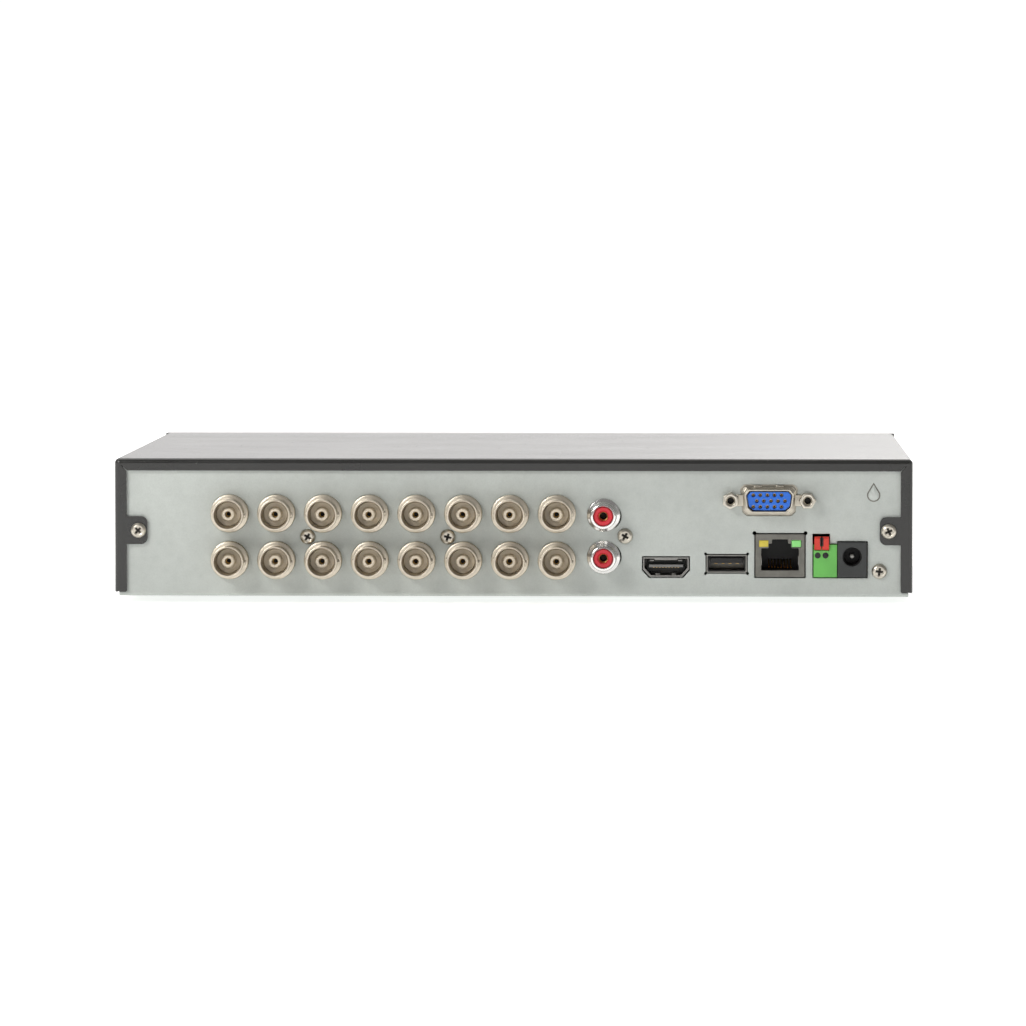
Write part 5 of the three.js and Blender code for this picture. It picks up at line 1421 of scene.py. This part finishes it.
class RECORDER_OT_monitor_socket(bpy.types.Operator):
    """Monitor socket: drawn shell with its skirt and ears, blue insert with fifteen contact holes"""

    bl_idname = "recorder.monitor_socket"
    bl_label = "Monitor socket"

    def execute(self, context):
        low, high = cad("vga_shell")
        centre = middle("vga_insert")
        tip, wall = high.y, 0.5
        shell = Piece("monitor_shell")
        shell.plate("shell", monitor_outline(0), PANEL_Y - 1.2, tip, [monitor_outline(wall)], bevel=0.18)
        shell.plate(
            "shell", monitor_outline(-0.8), PANEL_Y - 1.2, PANEL_Y + 0.5, [monitor_outline(0.2)], bevel=0.3
        )
        shell.plate(
            "shell", monitor_outline(-0.45), PANEL_Y - 0.2, PANEL_Y + 1.2, [monitor_outline(0.2)], bevel=0.4
        )
        flange = oblong((low.x, low.z), (high.x, high.z), 1.2)
        shell.plate("shell", flange, PANEL_Y - SHEET - 1.1, PANEL_Y - SHEET - 0.3)
        body = oblong((centre.x - 9.3, centre.z - 5), (centre.x + 9.3, centre.z + 5), 0.6)
        shell.plate("dark", body, low.y, PANEL_Y - SHEET - 1.12)
        for side in (-1, 1):
            inner, outer = centre.x + side * 8.2, centre.x + side * 10.6
            x = sorted((inner, outer))
            shell.block(
                "shell", (x[0], PANEL_Y + 0.05, centre.z - 1.9), (x[1], PANEL_Y + 0.9, centre.z + 1.9), 0.35
            )
            dimple = centre.x + side * 3.6
            shell.block(
                "shell", (dimple - 1.3, PANEL_Y - 0.6, centre.z + 4.0),
                (dimple + 1.3, PANEL_Y + 0.95, centre.z + 5.0), 0.4
            )
        shell.done(["vga_shell"])
        face = cad("vga_insert")[1].y
        insert = Piece("monitor_insert")
        pitch, row = 2.29, 1.9
        holes = []
        for r, shift in ((1, 0.0), (0, -0.5), (-1, 0.0)):
            for k in range(5):
                holes.append((centre.x + (k - 2 + shift) * pitch + 0.25 * pitch, centre.z + r * row))
        outline = monitor_outline(wall + 0.3)
        insert.plate("blue", outline, face - 3.0, face, [circle(p, 0.62, 14) for p in holes], bevel=0.12)
        insert.plate("blue", monitor_outline(wall + 0.32), PANEL_Y + 0.3, face - 3.01)
        insert.done(["vga_insert"])
        # Each cup puts a black disc at the foot of its hole as painted shade, with a plated contact ring over
        # it.
        cup = Piece("contact_cup")
        cup.rod("black", 0.6, 0.0, 0.25, (0, 0, 0), "z", 12)
        cup.lathe("contact", [(0.28, 0.1), (0.48, 0.1), (0.48, 0.6), (0.28, 0.6)], (0, 0, 0), "z", 12)
        places = [((x, face - 3.0, z), (-90, 0, 0)) for x, z in holes]
        cups = scattered("monitor_contacts", cup.object(), ["black", "contact"], places)
        settle(cups, [])
        nut = Piece("hex_nut")
        height = cad("vga_jackscrew_1")[1].y - PANEL_Y
        across = 4.8
        hexagon = circle((0, 0), across / math.sqrt(3), 6)
        nut.plate("screw", hexagon, 0.05, height, [circle((0, 0), 1.45, 20)], "xy", 0.35)
        nut.lathe(
            "screw", [(1.1, 0.4), (1.5, 0.4), (1.5, height - 0.5), (1.1, height - 0.9)], (0, 0, 0), "z", 20
        )
        # A black disc in the threaded hole is painted shade.
        nut.rod("black", 1.2, 0.3, 0.9, (0, 0, 0), "z", 16)
        nodes = ["vga_jackscrew_1", "vga_jackscrew_2"]
        places = [((middle(n).x, PANEL_Y, centre.z), (-90, 0, 0)) for n in nodes]
        nuts = scattered("monitor_jackscrews", nut.object(), ["screw", "black"], places, 25, 5)
        settle(nuts, nodes)
        return {"FINISHED"}


# ------------------------------------------------------------------ operators: front and feet


class RECORDER_OT_front(bpy.types.Operator):
    """Gloss bezel, smoked window with its lamps behind, and the front board"""

    bl_idname = "recorder.front"
    bl_label = "Front"

    def execute(self, context):
        bezel = Piece("bezel")
        bezel.node("gloss", "front_bezel")
        bezel.done(["front_bezel"], edge=0.45, segments=3)
        low, high = cad("front_window")
        window = Piece("window")
        outline = oblong((low.x, low.z), (high.x, high.z), 0.9)
        window.plate("window", outline, low.y, high.y, bevel=0.25)
        for k in range(3):
            x = low.x + 7 + 9 * k
            window.lathe(
                "lamp", [(0, 0), (0.9, 0), (0.9, 0.3), (0, 0.3)],
                (x, low.y - 0.01, middle("front_window").z), "y", 20
            )
        window.done(["front_window"])
        low, high = cad("front_board")
        board = Piece("front_board")
        holes = [
            circle((x, z), 1.5, 16) for x in (low.x + 4, high.x - 4) for z in (low.z + 4, high.z - 4)
        ]
        board.plate("board", oblong((low.x, low.z), (high.x, high.z), 1.0), low.y, high.y, holes, bevel=0.1)
        for k in range(3):
            x = cad("front_window")[0].x + 7 + 9 * k
            board.block("white", (x - 1.2, low.y - 1.6, 28.5), (x + 1.2, low.y, 31.5), 0.3)
        board.block("chip", (low.x + 14, high.y, low.z + 12), (low.x + 22, high.y + 0.9, low.z + 20), 0.15)
        board.block("white", (high.x - 26, high.y, low.z + 4), (high.x - 10, high.y + 3.0, low.z + 8.5), 0.3)
        board.done(["front_board"])
        return {"FINISHED"}


class RECORDER_OT_feet(bpy.types.Operator):
    """Four rubber feet with a rounded rim and a recessed centre"""

    bl_idname = "recorder.feet"
    bl_label = "Feet"

    def execute(self, context):
        radius = (cad("foot_1")[1].x - cad("foot_1")[0].x) / 2
        foot = Piece("foot")
        foot.lathe("rubber", [
            (0, 0.5), (2.4, 0.5), (2.7, 0.35), (3.0, 0), (radius - 0.7, 0), (radius - 0.2, 0.2),
            (radius, 0.7), (radius, 1.7), (radius - 0.25, 1.98), (2.0, 1.98), (2.0, 3.0), (2.25, 3.2),
            (2.0, 4.0), (1.2, 4.2), (0, 4.2),
        ], (0, 0, 0), "z", 40)
        places = [((middle(node).x, middle(node).y, 0.0), (0, 0, 0)) for node in FEET]
        feet = scattered("feet", foot.object(), ["rubber"], places)
        settle(feet, FEET)
        return {"FINISHED"}


# ------------------------------------------------------------------ operators: the inside


class RECORDER_OT_main_board(bpy.types.Operator):
    """Main board: tracks, chips, memory, filters, coils, capacitors, headers and screws"""

    bl_idname = "recorder.main_board"
    bl_label = "Main board"

    def execute(self, context):
        low, high = BOARD_LOW, BOARD_HIGH
        top = high.z
        spots = [(x, y) for x in (low.x + 6, 0.0, high.x - 6) for y in (low.y + 5.5, low.y + 60.5)]
        board = Piece("main_board")
        holes = [circle(spot, 1.7, 20) for spot in spots if abs(spot[0]) > 1]
        board.plate("board", oblong((low.x, low.y), (high.x, high.y), 1.0), low.z, top, holes, "xy", 0.12)
        for x, y in spots:
            if abs(x) > 1:
                board.lathe("tin", [(1.72, 0.0), (3.1, 0.0), (3.1, 0.06), (1.72, 0.06)], (x, y, top), "z", 24)
        # Video receivers behind the camera jacks, and memory beside the processor
        for k in range(4):
            x = 92.4 - 15.24 * (2 * k + 0.5)
            self.chip(board, (x, 66.0), 10.0, 10.0, top)
        for x in (-40.0, 30.0, 47.0):
            self.chip(board, (x, 47.0), 9.0, 13.0, top)
        self.chip(board, (-88.0, 62.0), 9.0, 9.0, top)
        self.chip(board, (70.0, 34.0), 8.0, 6.0, top)
        # Network transformer, power coils and a crystal
        board.block("chip", (-96.0, 66.5, top), (-78.0, 76.5, top + 5.6), 0.4)
        for x, y in ((-104, 40), (-104, 56), (-90, 40)):
            board.block("chip", (x - 4, y - 4, top), (x + 4, y + 4, top + 3.8), 0.9)
            board.lathe(
                "tin", [(0, 3.7), (2.4, 3.7), (2.6, 3.85), (2.4, 3.95), (0, 3.95)], (x, y, top), "z", 20
            )
        board.plate(
            "tin", rounded([(-33, 29), (-22, 29), (-22, 33), (-33, 33)], 1.9), top, top + 3.2, (), "xy", 0.4
        )
        # Headers for the drive and the front
        for x0, x1, y0, y1 in (
            (60, 66, 13, 24.5), (80, 90, 13, 24.5), (91, 109, 13.2, 19), (100, 108, 52, 58),
        ):
            board.block("white", (x0, y0, top), (x1, y1, top + 0.3), 0.1)
        for k in range(4):
            board.block(
                "contact", (101.2 + 1.9 * k - 0.3, 54.6, top), (101.2 + 1.9 * k + 0.3, 55.2, top + 5.0), 0.1
            )
        board.done(["main_board"])
        self.repeats(top, [spot for spot in spots if abs(spot[0]) > 1])
        self.processor(top)
        return {"FINISHED"}

    def chip(self, board, centre, wide, deep, top):
        """A chip with a moulded body, a dimple and a frame of tinned legs."""
        x, y = centre
        board.block(
            "chip", (x - wide / 2, y - deep / 2, top + 0.2), (x + wide / 2, y + deep / 2, top + 1.5), 0.18
        )
        board.lathe(
            "dark", [(0, 1.49), (0.5, 1.49), (0.55, 1.52), (0, 1.53)], (
                x - wide / 2 + 1.2, y + deep / 2 - 1.2, top
            ),
            "z", 14,
        )
        board.block(
            "tin", (x - wide / 2 - 0.8, y - deep / 2 + 0.8, top),
            (x + wide / 2 + 0.8, y + deep / 2 - 0.8, top + 0.28), 0.05, 1
        )

    def repeats(self, top, spots):
        """Screws, capacitors and small parts, each copied to its places."""
        screws = scattered(
            "board_screws", cross_screw(), ["screw", "grime"],
            [((x, y, top), (0, 0, 0)) for x, y in spots], 80, 6
        )
        settle(screws, [])
        can = Piece("capacitor")
        can.lathe("tin", [
            (0, 0.3), (2.9, 0.3), (3.0, 0.5), (3.0, 1.2), (2.75, 1.45), (2.75, 1.7), (3.0, 1.95), (3.0, 6.6),
            (2.8, 6.9), (2.5, 6.95), (0, 6.85),
        ], (0, 0, 0), "z", 28)
        can.block("chip", (-3.2, -3.2, 0), (3.2, 3.2, 0.6), 0.2)
        places = [((-112, y, top), (0, 0, 0)) for y in (40, 50, 60)]
        places += [((x, 27.0, top), (0, 0, 90)) for x in (30, 42)] + [((-48, 60.0, top), (0, 0, 0))]
        cans = scattered("capacitors", can.object(), ["tin", "chip"], places, 20, 2)
        settle(cans, [])
        part = Piece("resistor")
        part.block("grey", (-0.8, -0.45, 0.02), (0.8, 0.45, 0.5), 0.06, 1)
        for side in (-1, 1):
            part.block("tin", (side * 0.8 - 0.28, -0.47, 0), (side * 0.8 + 0.28, 0.47, 0.55), 0.06, 1)
        draw = random.Random(12)
        places = []
        for k in range(16):
            x = 92.4 - 7.62 * k
            places += [((x + draw.uniform(-1, 1), y, top), (0, 0, 90)) for y in (73.5, 76.0)]
        for cx, cy, count in (
            (-40, 30, 12), (38, 60, 14), (-70, 60, 16), (60, 44, 14), (-100, 30, 10), (10, 20, 14)
        ):
            for k in range(count):
                spot = (cx + 2.6 * (k % 4) + draw.uniform(-0.2, 0.2), cy + 2.0 * (k // 4), top)
                places.append((spot, (0, 0, 90 * draw.randrange(2))))
        parts = scattered("small_parts", part.object(), ["grey", "tin"], places)
        settle(parts, [])

    def processor(self, top):
        """Processor, its finned heat sink and the coin cell in its holder."""
        low, high = cad("processor")
        chip = Piece("processor")
        chip.block("board", (low.x, low.y, top + 0.02), (high.x, high.y, top + 0.6), 0.1)
        chip.block("chip", (low.x + 1.2, low.y + 1.2, top + 0.6), (high.x - 1.2, high.y - 1.2, high.z), 0.25)
        chip.done(["processor"])
        low, high = cad("heat_sink")
        base = Piece("sink_base")
        base.block("sink", low, (high.x, high.y, low.z + 3.0), 0.3)
        made = base.object()
        fins, thick = 9, 1.4
        fin = Piece("fin")
        wide = high.y - low.y
        fin.plate(
            "sink",
            rounded([
                (-thick / 2, 0), (thick / 2, 0),
                (thick / 2 - 0.2, high.z - low.z - 2.9), (-thick / 2 + 0.2, high.z - low.z - 2.9),
            ], 0.15, 2),
            -wide / 2, wide / 2, (), "xz", 0.12,
        )
        repeat = Repeat("fins", ["sink"])
        count = repeat.input("Fins", "NodeSocketInt", fins)
        step = (high.x - low.x - thick) / (fins - 1) * MM
        start = Vector((low.x + thick / 2, (low.y + high.y) / 2, low.z + 2.9)) * MM
        line = repeat.node(
            "GeometryNodeMeshLine", {"mode": "OFFSET", "count_mode": "TOTAL"}, Count=count,
            Start_Location=repeat.input("Start", "NodeSocketVector", tuple(start)),
            Offset=repeat.input("Step", "NodeSocketVector", (step, 0.0, 0.0)),
        )
        repeat.copies(line)
        fins_made = repeat.run("sink_fins", fin.object())
        settle(made, ["heat_sink"])
        settle(fins_made, [])
        low, high = cad("coin_cell")
        centre = middle("coin_cell")
        radius = (high.x - low.x) / 2
        cell = Piece("coin_cell")
        spot = (centre.x, centre.y, 0)
        cell.lathe("steel", [
            (0, low.z), (radius - 0.9, low.z), (radius - 0.8, low.z + 0.35), (radius - 0.3, low.z + 0.5),
            (radius, low.z + 0.8), (radius, high.z - 0.4), (radius - 0.4, high.z), (0, high.z),
        ], spot, "z", 48)
        cell.lathe("black", [
            (radius - 3, top), (radius + 0.6, top), (radius + 0.6, low.z + 1.2), (radius + 0.1, low.z + 1.2),
            (radius + 0.1, low.z - 0.1), (radius - 3, low.z - 0.1),
        ], spot, "z", 48)
        cell.block("tin", (centre.x - 2, high.y - 6, high.z), (centre.x + 2, high.y + 1.2, high.z + 0.3), 0.1)
        cell.block("tin", (centre.x - 2, high.y + 0.7, top), (centre.x + 2, high.y + 1.2, high.z + 0.2), 0.1)
        cell.done(["coin_cell"])


class RECORDER_OT_drive(bpy.types.Operator):
    """Hard drive: cast base, lid with its screws and blank label, discs and arm"""

    bl_idname = "recorder.drive"
    bl_label = "Drive"

    def execute(self, context):
        base = Piece("drive_base")
        base.node("cast", "drive_base")
        base.done(["drive_base"], edge=0.35)
        low, high = cad("drive_lid")
        lid = Piece("drive_lid")
        lid.plate("lid", oblong((low.x, low.y), (high.x, high.y), 3.0), low.z, high.z - 0.45, (), "xy", 0.3)
        raised = rounded([
            (low.x + 9, low.y + 5), (high.x - 30, low.y + 5), (high.x - 10, low.y + 24), (
                high.x - 10, high.y - 20
            ),
            (high.x - 24, high.y - 5), (low.x + 9, high.y - 5),
        ], 6, 6)
        lid.plate("lid", raised, high.z - 0.6, high.z - 0.1, (), "xy", 0.3)
        label = rounded([
            (low.x + 20, low.y + 14), (low.x + 92, low.y + 14), (low.x + 92, high.y - 14), (
                low.x + 20, high.y - 14
            ),
        ], 2, 4)
        lid.plate("label", label, high.z - 0.15, high.z - 0.02, (), "xy", 0.03)
        lid.lathe("tin", [
            (0, -0.12), (6.5, -0.12), (6.5, 0.0), (6.1, 0.04), (5.6, 0.0), (2.2, 0.0), (1.9, -0.1), (0, -0.1),
        ], (high.x - 36, (low.y + high.y) / 2 + 26, high.z - 0.06), "z", 40)
        lid.done(["drive_lid"])
        y0, y1 = low.y, high.y
        corners = [(low.x + 5, y0 + 5), (low.x + 74, y0 + 3.2), (high.x - 5, y0 + 5)]
        corners += [(low.x + 5, y1 - 5), (low.x + 74, y1 - 3.2), (high.x - 5, y1 - 5)]
        places = [((x, y, high.z - 0.45), (0, 0, 0)) for x, y in corners]
        flat = Piece("lid_screw")
        flat.lathe(
            "dark", [(0, 0), (2.2, 0), (2.2, 0.2), (1.9, 0.42), (0.9, 0.42), (0.75, 0.1), (0, 0.1)],
            (0, 0, 0), "z", 24
        )
        screws = scattered("drive_lid_screws", flat.object(), ["dark"], places)
        settle(screws, [])
        self.moving()
        return {"FINISHED"}

    def moving(self):
        """Discs with their clamp, and the head arm."""
        low, high = cad("drive_platters")
        centre = middle("drive_platters")
        radius = (high.x - low.x) / 2
        spot = (centre.x, centre.y, 0)
        discs = Piece("drive_platters")
        hub = 12.5
        levels = [low.z + 3.2, low.z + 8.2]
        for z in levels:
            discs.lathe("disc", [
                (hub, z), (radius - 0.15, z), (radius, z + 0.15), (radius, z + 1.15), (radius - 0.15, z + 1.3),
                (hub, z + 1.3),
            ], spot, "z", 96)
        discs.lathe("arm", [
            (0, low.z), (hub + 1.5, low.z), (hub + 1.5, levels[0] - 0.01), (hub, levels[0] - 0.01),
            (hub, high.z - 0.6), (hub - 0.6, high.z), (9.0, high.z), (8.6, high.z - 0.7), (3, high.z - 0.7),
            (2.6, high.z - 0.3), (0, high.z - 0.3),
        ], spot, "z", 64)
        for k in range(6):
            angle = math.pi / 3 * k
            x, y = centre.x + 10.6 * math.cos(angle), centre.y + 10.6 * math.sin(angle)
            discs.rod("screw", 0.9, high.z - 0.5, high.z - 0.02, (x, y, 0), "z", 14, 0.12)
        discs.done(["drive_platters"], body="drive_platters")
        arm = Piece("drive_arm")
        arm.node("arm", "drive_arm")
        arm.done(["drive_arm"], body="drive_arm", edge=0.2)


class RECORDER_OT_fan(bpy.types.Operator):
    """Fan: square frame with struts, a bladed rotor, and four screws copied to the frame's corners"""

    bl_idname = "recorder.fan"
    bl_label = "Fan"

    def execute(self, context):
        flange = Piece("fan_frame")
        flange.node("fan", "fan_frame")
        flange.done(["fan_frame"], edge=0.2)
        rotor = Piece("fan_rotor")
        rotor.node("fan", "fan_rotor")
        rotor.done(["fan_rotor"], body="fan_rotor", edge=0.12)
        low = cad("fan_frame")[0]
        centre = middle("fan_rotor")
        places = []
        for y in (centre.y - 16, centre.y + 16):
            for z in (centre.z - 16, centre.z + 16):
                places.append(((low.x, y, z), (0, -90, 0)))
        screws = scattered("fan_screws", cross_screw(), ["screw", "grime"], places, 80, 9)
        settle(screws, [])
        return {"FINISHED"}


class RECORDER_OT_leads(bpy.types.Operator):
    """Drive leads and the ribbon to the front board"""

    bl_idname = "recorder.leads"
    bl_label = "Leads"

    def execute(self, context):
        for node, finish, slot in (
            ("drive_data_lead", "lead_red", "lead_red"),
            ("drive_power_lead", "lead_black", "lead_black"),
            ("front_ribbon", "ribbon", "ribbon_grey"),
        ):
            lead = Piece(node)
            lead.node(finish, node)
            lead.done([node], edge=0.15)
        return {"FINISHED"}


# ------------------------------------------------------------------ operators: the stage


class RECORDER_OT_stage(bpy.types.Operator):
    """Pale seamless floor, soft studio lights and the camera"""

    bl_idname = "recorder.stage"
    bl_label = "Stage"

    def execute(self, context):
        scene = context.scene
        bpy.ops.mesh.primitive_plane_add(size=60.0, location=(0, 0, -0.0002))
        floor = context.active_object
        floor.name = "floor"
        floor.data.materials.append(SHELF["floor"])
        self.sky(scene)
        for name, spot, size, watts in (
            ("key_light", (0.62, 0.9, 0.62), (0.45, 0.35), 6.4),
            ("fill_light", (-2.2, 1.8, 0.9), (1.6, 1.6), 1.0),
            ("top_light", (0.4, -0.7, 2.4), (2.6, 1.8), 22.0),
            ("front_light", (-0.9, -2.6, 1.3), (1.8, 1.2), 18.0),
        ):
            self.light(scene, name, spot, size, watts)
        self.camera(scene)
        scene.view_settings.view_transform = "Standard"
        return {"FINISHED"}

    def sky(self, scene):
        """White to the eye; for the lighting, a bright wall behind the bezel and a dimmer room."""
        world = bpy.data.worlds.new("studio")
        world.use_nodes = True
        tree = world.node_tree
        tree.nodes.clear()
        way = tree.nodes.new("ShaderNodeTexCoord")
        split = tree.nodes.new("ShaderNodeSeparateXYZ")
        wall = tree.nodes.new("ShaderNodeMapRange")
        for index, value in ((1, 0.15), (2, -0.75), (3, 0.24), (4, 1.2)):
            wall.inputs[index].default_value = value
        seen = tree.nodes.new("ShaderNodeBackground")
        wash = tree.nodes.new("ShaderNodeBackground")
        seen.inputs["Strength"].default_value = 1.05
        wash.inputs["Color"].default_value = (1.0, 0.985, 0.975, 1)
        seen.inputs["Color"].default_value = (1, 1, 1, 1)
        path = tree.nodes.new("ShaderNodeLightPath")
        both = tree.nodes.new("ShaderNodeMixShader")
        out = tree.nodes.new("ShaderNodeOutputWorld")
        for source, target in (
            (way.outputs["Generated"], split.inputs[0]),
            (split.outputs["Y"], wall.inputs[0]),
            (wall.outputs[0], wash.inputs["Strength"]),
            (path.outputs["Is Camera Ray"], both.inputs[0]),
            (wash.outputs[0], both.inputs[1]),
            (seen.outputs[0], both.inputs[2]),
            (both.outputs[0], out.inputs["Surface"]),
        ):
            tree.links.new(source, target)
        scene.world = world

    def light(self, scene, name, spot, size, watts):
        """A soft box that looks at the recorder."""
        lamp = bpy.data.lights.new(name, "AREA")
        lamp.shape = "RECTANGLE"
        lamp.size, lamp.size_y = size
        lamp.energy = watts
        lamp.color = (1.0, 0.985, 0.96)
        made = bpy.data.objects.new(name, lamp)
        made.location = spot
        made.rotation_euler = (Vector((0, 0.03, 0.03)) - made.location).to_track_quat("-Z", "Y").to_euler()
        scene.collection.objects.link(made)

    def camera(self, scene):
        """A long lens, level with the case and a little to one side of the connector panel."""
        lens = bpy.data.cameras.new("camera")
        lens.lens = 224.5
        lens.sensor_width = 36.0
        lens.clip_start, lens.clip_end = 0.05, 100.0
        made = bpy.data.objects.new("camera", lens)
        made.location = (-0.0608, 2.182, 0.140)
        made.rotation_euler = (Vector((0, 0.1028, 0.0293)) - made.location).to_track_quat("-Z", "Y").to_euler()
        scene.collection.objects.link(made)
        scene.camera = made


# ------------------------------------------------------------------ panel and registration


OPERATORS = [
    RECORDER_OT_tray,
    RECORDER_OT_cover,
    RECORDER_OT_screws,
    RECORDER_OT_camera_jacks,
    RECORDER_OT_audio_jacks,
    RECORDER_OT_display_socket,
    RECORDER_OT_usb_sockets,
    RECORDER_OT_network_socket,
    RECORDER_OT_terminal,
    RECORDER_OT_power_jack,
    RECORDER_OT_monitor_socket,
    RECORDER_OT_front,
    RECORDER_OT_feet,
    RECORDER_OT_main_board,
    RECORDER_OT_drive,
    RECORDER_OT_fan,
    RECORDER_OT_leads,
    RECORDER_OT_stage,
]


class RECORDER_PT_panel(bpy.types.Panel):
    """Sizes, colours and pieces of the recorder"""

    bl_idname = "RECORDER_PT_panel"
    bl_label = "Recorder"
    bl_space_type = "VIEW_3D"
    bl_region_type = "UI"
    bl_category = "Recorder"

    def draw(self, context):
        layout = self.layout
        for group in PROPERTY_GROUPS:
            values = getattr(context.scene, group)
            box = layout.box()
            for key in type(values).__annotations__:
                box.prop(values, key)
        for operator in OPERATORS:
            layout.operator(operator.bl_idname)


def register():
    """Registers the groups, the operators and the panel."""
    for name, group in PROPERTY_GROUPS.items():
        bpy.utils.register_class(group)
        setattr(bpy.types.Scene, name, bpy.props.PointerProperty(type=group))
    for item in (*OPERATORS, RECORDER_PT_panel):
        bpy.utils.register_class(item)


def unregister():
    """Takes everything back out, in the opposite order."""
    for item in (RECORDER_PT_panel, *reversed(OPERATORS)):
        bpy.utils.unregister_class(item)
    for name, group in reversed(PROPERTY_GROUPS.items()):
        delattr(bpy.types.Scene, name)
        bpy.utils.unregister_class(group)


def main():
    """Builds every piece in order."""
    register()
    for operator in OPERATORS:
        getattr(bpy.ops.recorder, operator.bl_idname.split(".")[1])()


if __name__ == "__main__":
    main()
